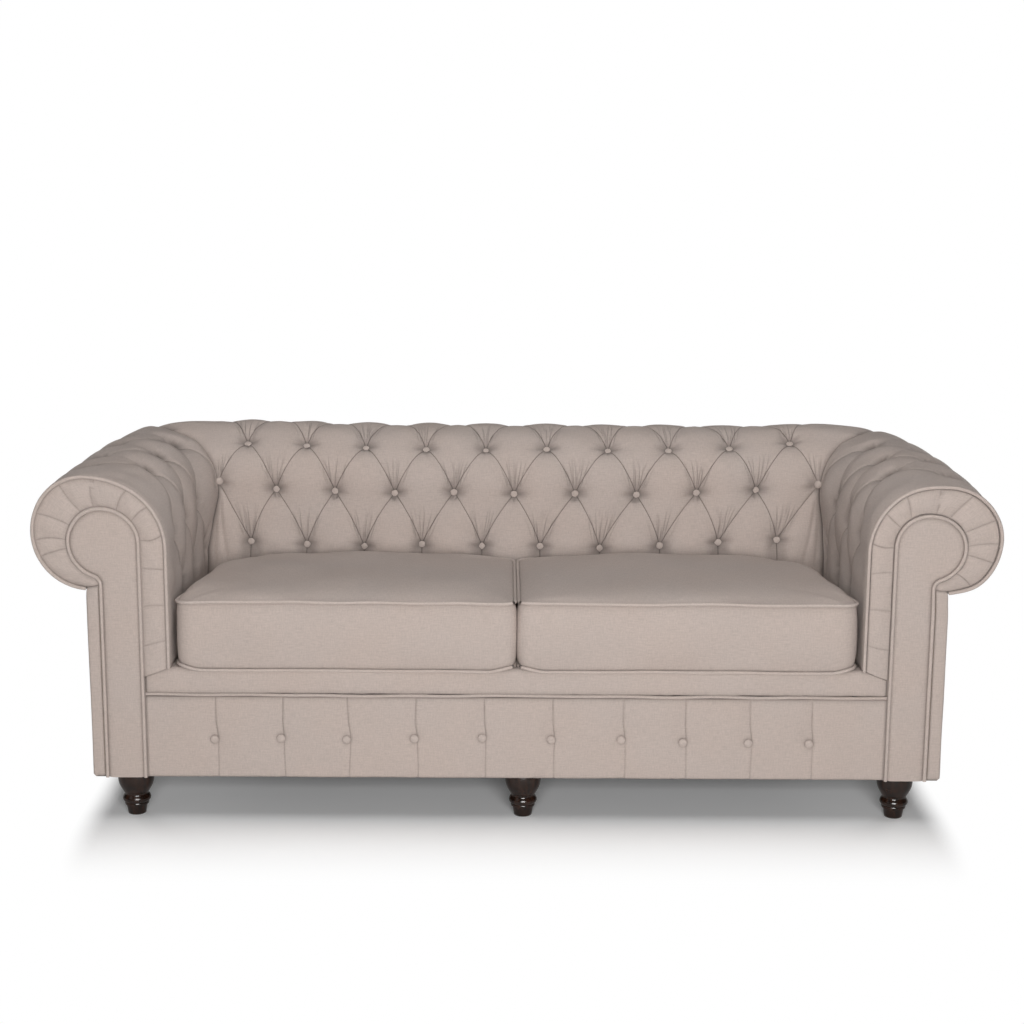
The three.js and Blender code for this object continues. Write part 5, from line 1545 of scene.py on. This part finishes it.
def corner_radius(a, b):
    inner = np.where((a < 0) & (b < 0), FRONT_INNER_CORNER, CUSHION_CORNER)
    return np.where((a > 0) & (b > 0), REAR_OUTER_CORNER, inner)


def rim_of(a, b):
    """The right cushion's plan outline at a point of a unit square's rim, with its outward direction."""
    half = (CUSHION_W / 2, CUSHION_D / 2)
    x, y = a * half[0], b * half[1]
    r = corner_radius(a, b)
    over_x = np.maximum(np.abs(x) - (half[0] - r), 0)
    over_y = np.maximum(np.abs(y) - (half[1] - r), 0)
    corner = (over_x > 0) & (over_y > 0)
    angle = np.where(over_y >= over_x, math.pi / 2 - over_x / r * math.pi / 4, over_y / r * math.pi / 4)
    sx, sy = np.where(a < 0, -1, 1), np.where(b < 0, -1, 1)
    on_side = np.abs(a) >= 1 - 1e-6
    nx = np.where(corner, sx * np.cos(angle), np.where(on_side, sx, 0))
    ny = np.where(corner, sy * np.sin(angle), np.where(on_side, 0, sy))
    reach = np.where(on_side, half[1], half[0])
    first = np.where(on_side, corner_radius(a, -1), corner_radius(-1, b))
    last = np.where(on_side, corner_radius(a, 1), corner_radius(1, b))
    share = np.clip((np.where(on_side, y, x) + reach - first) / (2 * reach - first - last), 0, 1)
    drawn = np.where(corner | (on_side & (a < 0)), 0, CUSHION_DRAW_IN * np.sin(math.pi * share))
    px = np.where(corner, sx * (half[0] - r + r * np.cos(angle)), x) - nx * drawn
    py = np.where(corner, sy * (half[1] - r + r * np.sin(angle)), y) - ny * drawn
    px = px - CUSHION_NARROWING * np.maximum(px, 0) / half[0] * rear_share(py)
    return px, py, nx, ny


def rim_round(count_x, count_y):
    """The unit square's rim, walked round once."""
    xs, ys = np.linspace(-1, 1, count_x + 1), np.linspace(-1, 1, count_y + 1)
    a = np.concatenate((xs[:-1], np.full(count_y, 1.0), xs[:0:-1], np.full(count_y, -1.0)))
    b = np.concatenate((np.full(count_x, -1.0), ys[:-1], np.full(count_x, 1.0), ys[:0:-1]))
    return a, b


def seam_wobble(x, y, seed):
    return 0.0011 * random_waves(seed, 7, 0.12, 0.45)(x, y)


def lid_rise(a, b):
    """Share of the crown's height over the cushion."""
    along = np.where(a > 0, (1 - np.abs(a) ** 2.0) ** 0.80, (1 - np.abs(a) ** 2.6) ** 0.62)
    return along * np.where(b < 0, (1 - np.abs(b) ** 2.0) ** 0.85, (1 - np.abs(b) ** 2.6) ** 0.62)


def flat_sheet(kind, name, seed, hand):
    """The top or the underside of a cushion, filled in from its rim."""
    piece, across, up = new_sheet(f"{name}_{kind}", *CUSHION_CELLS)
    a, b = 2 * across - 1, 2 * up - 1
    rim = np.maximum(np.maximum(np.abs(a), np.abs(b)), 1e-9)
    px, py, nx, ny = rim_of(a / rim, b / rim)
    x, y = (px - nx * SEAM_ALLOWANCE) * rim, (py - ny * SEAM_ALLOWANCE) * rim
    if kind == "top":
        scale = 1 - (1 - rim) ** 2 * 1.05 / (1 - rim + 0.05)
        from_seam = (1 - scale) * (px * nx + py * ny)
        full = (0.25 + 0.75 * smoothstep(b, -1.0, -0.40)) * (0.35 + 0.65 * smoothstep(a, -1.0, -0.55))
        proud = LID_OVERHANG * full * np.sin(math.pi * np.sqrt(np.clip(from_seam / 0.022, 0, 1)))
        x = (px - nx * SEAM_ALLOWANCE) * scale + nx * proud
        y = (py - ny * SEAM_ALLOWANCE) * scale + ny * proud
        edge = np.sqrt(1 - (1 - np.clip(from_seam / LID_EDGE, 0, 1)) ** 2)
        z = top_seam(y) + seam_wobble(px, py, seed) * rim ** 6
        z = z + LID_EDGE * full * edge + (CROWN_RISE - LID_EDGE * full) * lid_rise(a, b)
    else:
        seam = lower_seam(px, py) + 0.5 * seam_wobble(px, py, seed + 1)
        z = seam * rim ** 40 + (COVER_FOOT_Z + 0.0004) * (1 - rim ** 40)
    place_points(piece, np.column_stack((x * hand, y, z)))
    keep_value(piece, "held", (rim > 1 - 1e-6) if kind == "top" else np.ones_like(x))
    # painted shade towards the seams
    keep_value(piece, "tuck", 0.8 * np.exp(-(1 - rim) * CUSHION_D / 2 / SEAM_SHADE))
    cloth_map(piece, x, y)
    return piece


def boxing_sheet(name, seed, hand):
    """The band round a cushion between its two seams."""
    a, b = rim_round(*CUSHION_CELLS)
    piece, around, up = new_sheet(f"{name}_boxing", len(a), BOX_ROWS)
    column = np.rint(around * len(a)).astype(int)
    step = column % len(a)
    px, py, nx, ny = rim_of(a[step], b[step])
    swell = -SEAM_ALLOWANCE + (0.0058 + 0.0030 * np.maximum(-nx, 0)) * np.sin(math.pi * up) ** 0.5
    low = lower_seam(px, py) + 0.5 * seam_wobble(px, py, seed + 1)
    high = top_seam(py) + seam_wobble(px, py, seed)
    place_points(piece, np.column_stack(((px + nx * swell) * hand, py + ny * swell, low + (high - low) * up)))
    keep_value(piece, "held", (up < 1e-6) | (up > 1 - 1e-6))
    # painted shade towards both seams
    keep_value(piece, "tuck", 0.8 * np.exp(-np.minimum(up, 1 - up) * BOXING / SEAM_SHADE))
    ring = np.column_stack(rim_of(a, b)[:2])
    cloth_map(piece, lengths_along(np.vstack((ring, ring[:1])))[column], up * BOXING)
    return piece


def cushion_sheets(name, seed, hand):
    """Top, underside and boxing of a cushion, to be sewn along both seams."""
    flats = [flat_sheet(kind, name, seed, hand) for kind in ("top", "under")]
    return [*flats, boxing_sheet(name, seed, hand)]


def sewn(name, parts):
    piece = joined(name, parts)
    edit(piece, (bpy.ops.mesh.remove_doubles, {"threshold": 0.0004}),
         (bpy.ops.mesh.normals_make_consistent, {"inside": False}))
    return piece


def inflated(piece, limit):
    """Lets the filling press the cloth out between its seams, no further than the limit."""
    before = points_of(piece)
    held = np.empty(len(piece.data.vertices))
    piece.data.attributes["held"].data.foreach_get("value", held)
    group = piece.vertex_groups.new(name="seams")
    group.add([int(index) for index in np.flatnonzero(held > 0.5)], 1.0, "REPLACE")
    choose(piece)
    bpy.ops.object.modifier_add(type="CLOTH")
    cloth = piece.modifiers[-1]
    settings = cloth.settings
    settings.quality = 6
    settings.mass = 0.25
    settings.tension_stiffness = settings.compression_stiffness = 28
    settings.shear_stiffness = 9
    settings.bending_stiffness = 0.35
    settings.use_pressure = True
    settings.uniform_pressure_force = 4
    settings.vertex_group_mass = "seams"
    settings.effector_weights.gravity = 0
    cloth.collision_settings.use_collision = False
    cloth.point_cache.frame_start = 1
    cloth.point_cache.frame_end = PRESS_FRAMES
    for number in range(1, PRESS_FRAMES + 1):
        bpy.context.scene.frame_set(number)
    bpy.ops.object.modifier_apply(modifier=cloth.name)
    bpy.context.scene.frame_set(1)
    moved = points_of(piece) - before
    reach = np.linalg.norm(moved, axis=1)
    print("pressed out by up to", round(float(reach.max() * 1000), 1), "mm")
    kept = limit * np.tanh(reach / limit)
    place_points(piece, before + moved * (kept / np.maximum(reach, 1e-9))[:, None])
    piece.vertex_groups.clear()
    piece.select_set(False)


def seam_puckers(piece, seed):
    """Small gathers beside the seams and soft unevenness of the filling."""
    spots = points_of(piece)
    normals = np.empty(len(spots) * 3)
    piece.data.vertex_normals.foreach_get("vector", normals)
    normals = normals.reshape(-1, 3)
    gap = np.minimum(np.abs(spots[:, 2] - top_seam(spots[:, 1])), np.abs(spots[:, 2] - LOWER_SEAM))
    side = np.minimum(CUSHION_W / 2 - np.abs(spots[:, 0]), CUSHION_D / 2 - np.abs(spots[:, 1]))
    near = np.exp(-((gap / 0.020) ** 1.2)) * np.exp(-np.maximum(side, 0) / 0.018)
    ripple = random_waves(seed, 9, 0.016, 0.045)(spots[:, 0], spots[:, 1])
    fade = smoothstep(gap, 0.001, 0.008)
    broad = random_waves(seed + 3, 10, 0.14, 0.5)(spots[:, 0], spots[:, 1] + spots[:, 2])
    free = smoothstep(spots[:, 2], LOWER_SEAM + 0.002, LOWER_SEAM + 0.02)
    calm = smoothstep(gap + np.maximum(side, 0), 0.002, 0.04)
    lift = 0.0010 * ripple * near * fade + 0.0022 * broad * free * calm
    place_points(piece, spots + normals * lift[:, None])


def make_cushion(hand):
    name = SIDES[hand]
    body = f"{name}_cushion"
    piece = sewn(f"seat_cushion_{name}", cushion_sheets(f"cushion_part_{name}", 90 + hand * 5, hand))
    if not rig.quick():
        inflated(piece, PRESS_LIMIT)
    seam_puckers(piece, 120 + hand * 7)
    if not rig.quick():
        choose(piece)
        bpy.ops.object.modifier_add(type="SUBSURF")
        piece.modifiers[-1].levels = piece.modifiers[-1].render_levels = 1
        bpy.ops.object.modifier_apply(modifier=piece.modifiers[-1].name)
        piece.select_set(False)
    points = points_of(piece) + (hand * CUSHION_X, CUSHION_Y, 0)
    points[:, 0] = hand * np.maximum(hand * points[:, 0], 0.0005)
    place_points(piece, points)
    smooth_shaded(piece)
    finished(piece, CLOTH, body, (f"cushion_{name}",))
    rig.padded(piece, fill=0.85)
    px, py, _, _ = rim_of(*rim_round(*CUSHION_CELLS))
    for kind, height, scale, seed in (("top", top_seam(py), 1, 90), ("lower", lower_seam(px, py), 0.5, 91)):
        z = height + scale * seam_wobble(px, py, seed + hand * 5)
        path = np.column_stack(((px + CUSHION_X) * hand, py + CUSHION_Y, z))
        welt = tube(f"cushion_{kind}_welt_{name}", path, (0, 0, 1), seed + hand, closed=True)
        finished(welt, TRIM, body, (f"cushion_{kind}_piping_{name}",))


def make_deck():
    """The lined seat platform under the cushions."""
    low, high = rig.box("seat_deck")
    piece, across, up = new_sheet("platform_cover", 140, 54)
    x = low[0] + (high[0] - low[0]) * across
    y = low[1] + (high[1] - low[1]) * up
    edge = np.minimum(np.minimum(x - low[0], high[0] - x), np.minimum(y - low[1], high[1] - y))
    z = high[2] - 0.0012 - 0.006 * np.exp(-edge / 0.006) - 0.0008 * random_waves(61, 10, 0.1, 0.4)(x, y)
    place_points(piece, np.column_stack((x, y, z)))
    # painted shade along the platform's edges
    keep_value(piece, "tuck", 0.5 * np.exp(-edge / 0.004))
    cloth_map(piece, x, y)
    tuck_rim(piece, 0.020)
    smooth_shaded(piece)
    finished(piece, PLATFORM, stands_for=("seat_deck",))
    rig.padded(piece, fill=0.9)


# feet

FOOT_R, FOOT_H = 0.0392, 0.099
BOLT_R, BOLT_L = 0.004, 0.030
FOOT_SHARES = [
    (0.470, 0.000), (0.498, 0.008), (0.512, 0.045), (0.545, 0.12), (0.580, 0.192), (0.594, 0.212),
    (0.660, 0.222), (0.674, 0.240), (0.674, 0.262), (0.660, 0.276), (0.690, 0.286), (0.738, 0.308),
    (0.776, 0.335), (0.788, 0.360), (0.776, 0.388), (0.738, 0.418), (0.690, 0.448), (0.664, 0.470),
    (0.668, 0.492), (0.718, 0.520), (0.776, 0.560), (0.840, 0.608), (0.902, 0.655), (0.948, 0.705),
    (0.982, 0.755), (0.996, 0.800), (1.000, 0.850), (1.000, 0.985), (0.980, 1.000),
]
FOOT_NODES = [f"foot_{row}_{place}" for row in ("front", "rear") for place in ("left", "middle", "right")]


def make_feet():
    profile = [(r * FOOT_R, z * FOOT_H) for r, z in FOOT_SHARES]
    profile += [(BOLT_R, FOOT_H), (BOLT_R, FOOT_H + BOLT_L)]
    model = turned("foot_model", profile, 56)
    local = points_of(model)
    for name in FOOT_NODES:
        low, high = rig.box(name)
        foot = model.copy()
        foot.data = model.data.copy()
        foot.name = foot.data.name = f"turned_{name}"
        bpy.context.collection.objects.link(foot)
        place_points(foot, local + ((low[0] + high[0]) / 2, (low[1] + high[1]) / 2, 0))
        smooth_shaded(foot, 50)
        finished(foot, FOOT_WOOD, stands_for=(name,))
    bpy.data.objects.remove(model)


# the frame inside

HIDDEN_FINISHES = {"strap": WEBBING, "dust_cover": FELT, "roll_core": FOAM}


def finish_frame():
    """New finishes on the CAD nodes that stay."""
    for name, node in frame["nodes"].items():
        material = next((value for key, value in HIDDEN_FINISHES.items() if key in name), TIMBER)
        for slot in node.material_slots:
            slot.material = material


# the arms as they stand in the photograph

ARM_PIECES = (
    "inside_arm_cover", "inside_back_cover", "outside_arm_cover", "outside_back_cover", "scroll_panel",
    "scroll_band_cover", "scroll_inner_welt", "scroll_outer_welt", "arm_buttons", "back_buttons",
)


def settled(points):
    """The left roll stands a little higher and further out, and the right one lower."""
    x, y, z = points.T
    front = 1 - smoothstep(y, -0.42, -0.20)
    raised = front * smoothstep(-x, 0.82, 0.93) * smoothstep(z, 0.64, 0.74)
    lowered = front * smoothstep(x, 0.80, 0.90) * smoothstep(z, 0.60, 0.72)
    left = smoothstep(-x, 0.84, 0.98) * smoothstep(z, 0.52, 0.70)
    wall = smoothstep(x, 0.86, 0.915) * (1 - smoothstep(z, 0.46, 0.56))
    right = smoothstep(x, 0.92, 1.00) * smoothstep(z, 0.46, 0.56)
    drop = smoothstep(x, 0.93, 0.99) * (1 - smoothstep(z, 0.54, 0.66))
    return points + np.column_stack((
        0.0045 * wall + 0.0020 * right - 0.0030 * left, 0 * x,
        0.0028 * left - 0.0060 * drop + 0.0060 * raised - 0.0050 * lowered))


def settle_arms():
    for piece in bpy.data.objects:
        if piece.type == "MESH" and piece.name.startswith(ARM_PIECES):
            place_points(piece, settled(points_of(piece)))


# floor and light

SIDE_SHADOW, FRONT_SHADOW = 0.072, 0.38
ROOM_LIGHT = 0.03


def floor_finish():
    """Pale floor that the camera sees turn to plain white a little way from the sofa."""
    floor = Finish("studio_floor")
    place = floor.node("ShaderNodeTexCoord", None, None, out=3)
    grain = floor.noise(place, 3.0, 2.0)
    x = floor.node("ShaderNodeSeparateXYZ", None, {0: place})
    beside = (abs(x) - WIDTH / 2 + ROLL_R + 0.02).most(0.0) / SIDE_SHADOW
    before = (abs(x.other(1)) - DEPTH / 2 + 0.03).most(0.0) / FRONT_SHADOW
    away = (beside * beside + before * before) ** 0.5
    pale = floor.mix(grain, (0.97, 0.97, 0.97), (1, 1, 1))
    near = floor.node("ShaderNodeBsdfDiffuse", None, {"Color": pale})
    white = floor.node("ShaderNodeEmission", None, {"Color": (1, 1, 1, 1), "Strength": 1})
    seen = floor.node("ShaderNodeMixShader", None, {0: away.step(0.0, 1.0), 1: near, 2: white})
    other = floor.node("ShaderNodeBsdfDiffuse", None, {"Color": (0.62, 0.61, 0.60, 1)})
    camera_ray = floor.node("ShaderNodeLightPath", None, None, out=0)
    floor.finish_with(floor.node("ShaderNodeMixShader", None, {0: camera_ray, 1: other, 2: seen}))
    return floor.material


def make_floor():
    bpy.ops.mesh.primitive_grid_add(x_subdivisions=8, y_subdivisions=8, size=40, location=(0, 0, 0))
    floor = bpy.context.object
    floor.name = floor.data.name = "studio_floor"
    floor.data.materials.append(floor_finish())
    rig.stage(floor)
    floor.select_set(False)


def make_light(name, place, target, size, power):
    bpy.ops.object.light_add(type="AREA", location=place)
    light = bpy.context.object
    light.name = light.data.name = name
    light.data.shape = "RECTANGLE"
    light.data.size, light.data.size_y = size
    light.data.energy = power
    aim = Vector(target) - Vector(place)
    light.rotation_euler = aim.to_track_quat("-Z", "Y").to_euler()
    light.select_set(False)


def background(tree, strength):
    """A plain white world node."""
    node = tree.nodes.new("ShaderNodeBackground")
    node.inputs["Color"].default_value = (1, 1, 1, 1)
    node.inputs["Strength"].default_value = strength
    return node


def make_world():
    world = bpy.data.worlds.new("studio")
    bpy.context.scene.world = world
    world.use_nodes = True
    tree = world.node_tree
    tree.nodes.clear()
    path = tree.nodes.new("ShaderNodeLightPath")
    seen, room = background(tree, 1), background(tree, ROOM_LIGHT)
    mix = tree.nodes.new("ShaderNodeMixShader")
    output = tree.nodes.new("ShaderNodeOutputWorld")
    tree.links.new(path.outputs["Is Camera Ray"], mix.inputs[0])
    tree.links.new(room.outputs[0], mix.inputs[1])
    tree.links.new(seen.outputs[0], mix.inputs[2])
    tree.links.new(mix.outputs[0], output.inputs["Surface"])


def make_lights():
    make_light("front_softbox", (0.2, -4.4, 1.3), (0.0, 0.0, 0.40), (2.2, 1.4), 153)
    make_light("left_softbox", (-3.4, -2.8, 2.2), (-0.2, 0.0, 0.4), (1.8, 1.8), 4)
    make_light("top_softbox", (0.0, -0.6, 3.4), (0.0, 0.0, 0.0), (3.6, 2.6), 50)
    make_light("rear_left_softbox", (-3.2, 2.8, 0.75), (-0.6, 0.3, 0.35), (1.8, 0.8), 42)
    make_light("rear_right_softbox", (3.2, 2.8, 0.75), (0.6, 0.3, 0.35), (1.8, 0.8), 42)


# making

make_inside_back()
for hand in (LEFT, RIGHT):
    make_inside_arm(hand)
    make_scroll_panel(hand)
    make_scroll_band(hand)
    make_scroll_piping(hand)
    make_cushion(hand)
button_model = turned("button_model", BUTTON_PROFILE, 24)
make_cover_buttons(button_model)
make_apron()
make_apron_buttons(button_model)
bpy.data.objects.remove(button_model)
make_apron_piping()
make_border()
make_outside_covers()
make_deck()
make_feet()
settle_arms()
finish_frame()
make_world()
make_floor()
make_lights()

scene = bpy.context.scene
scene.view_settings.view_transform = "Standard"
visual_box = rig.bounds()
with open("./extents.json", "w") as file:
    json.dump({"cad": [list(corner) for corner in cad_box], "visual": [list(corner) for corner in visual_box]}, file)
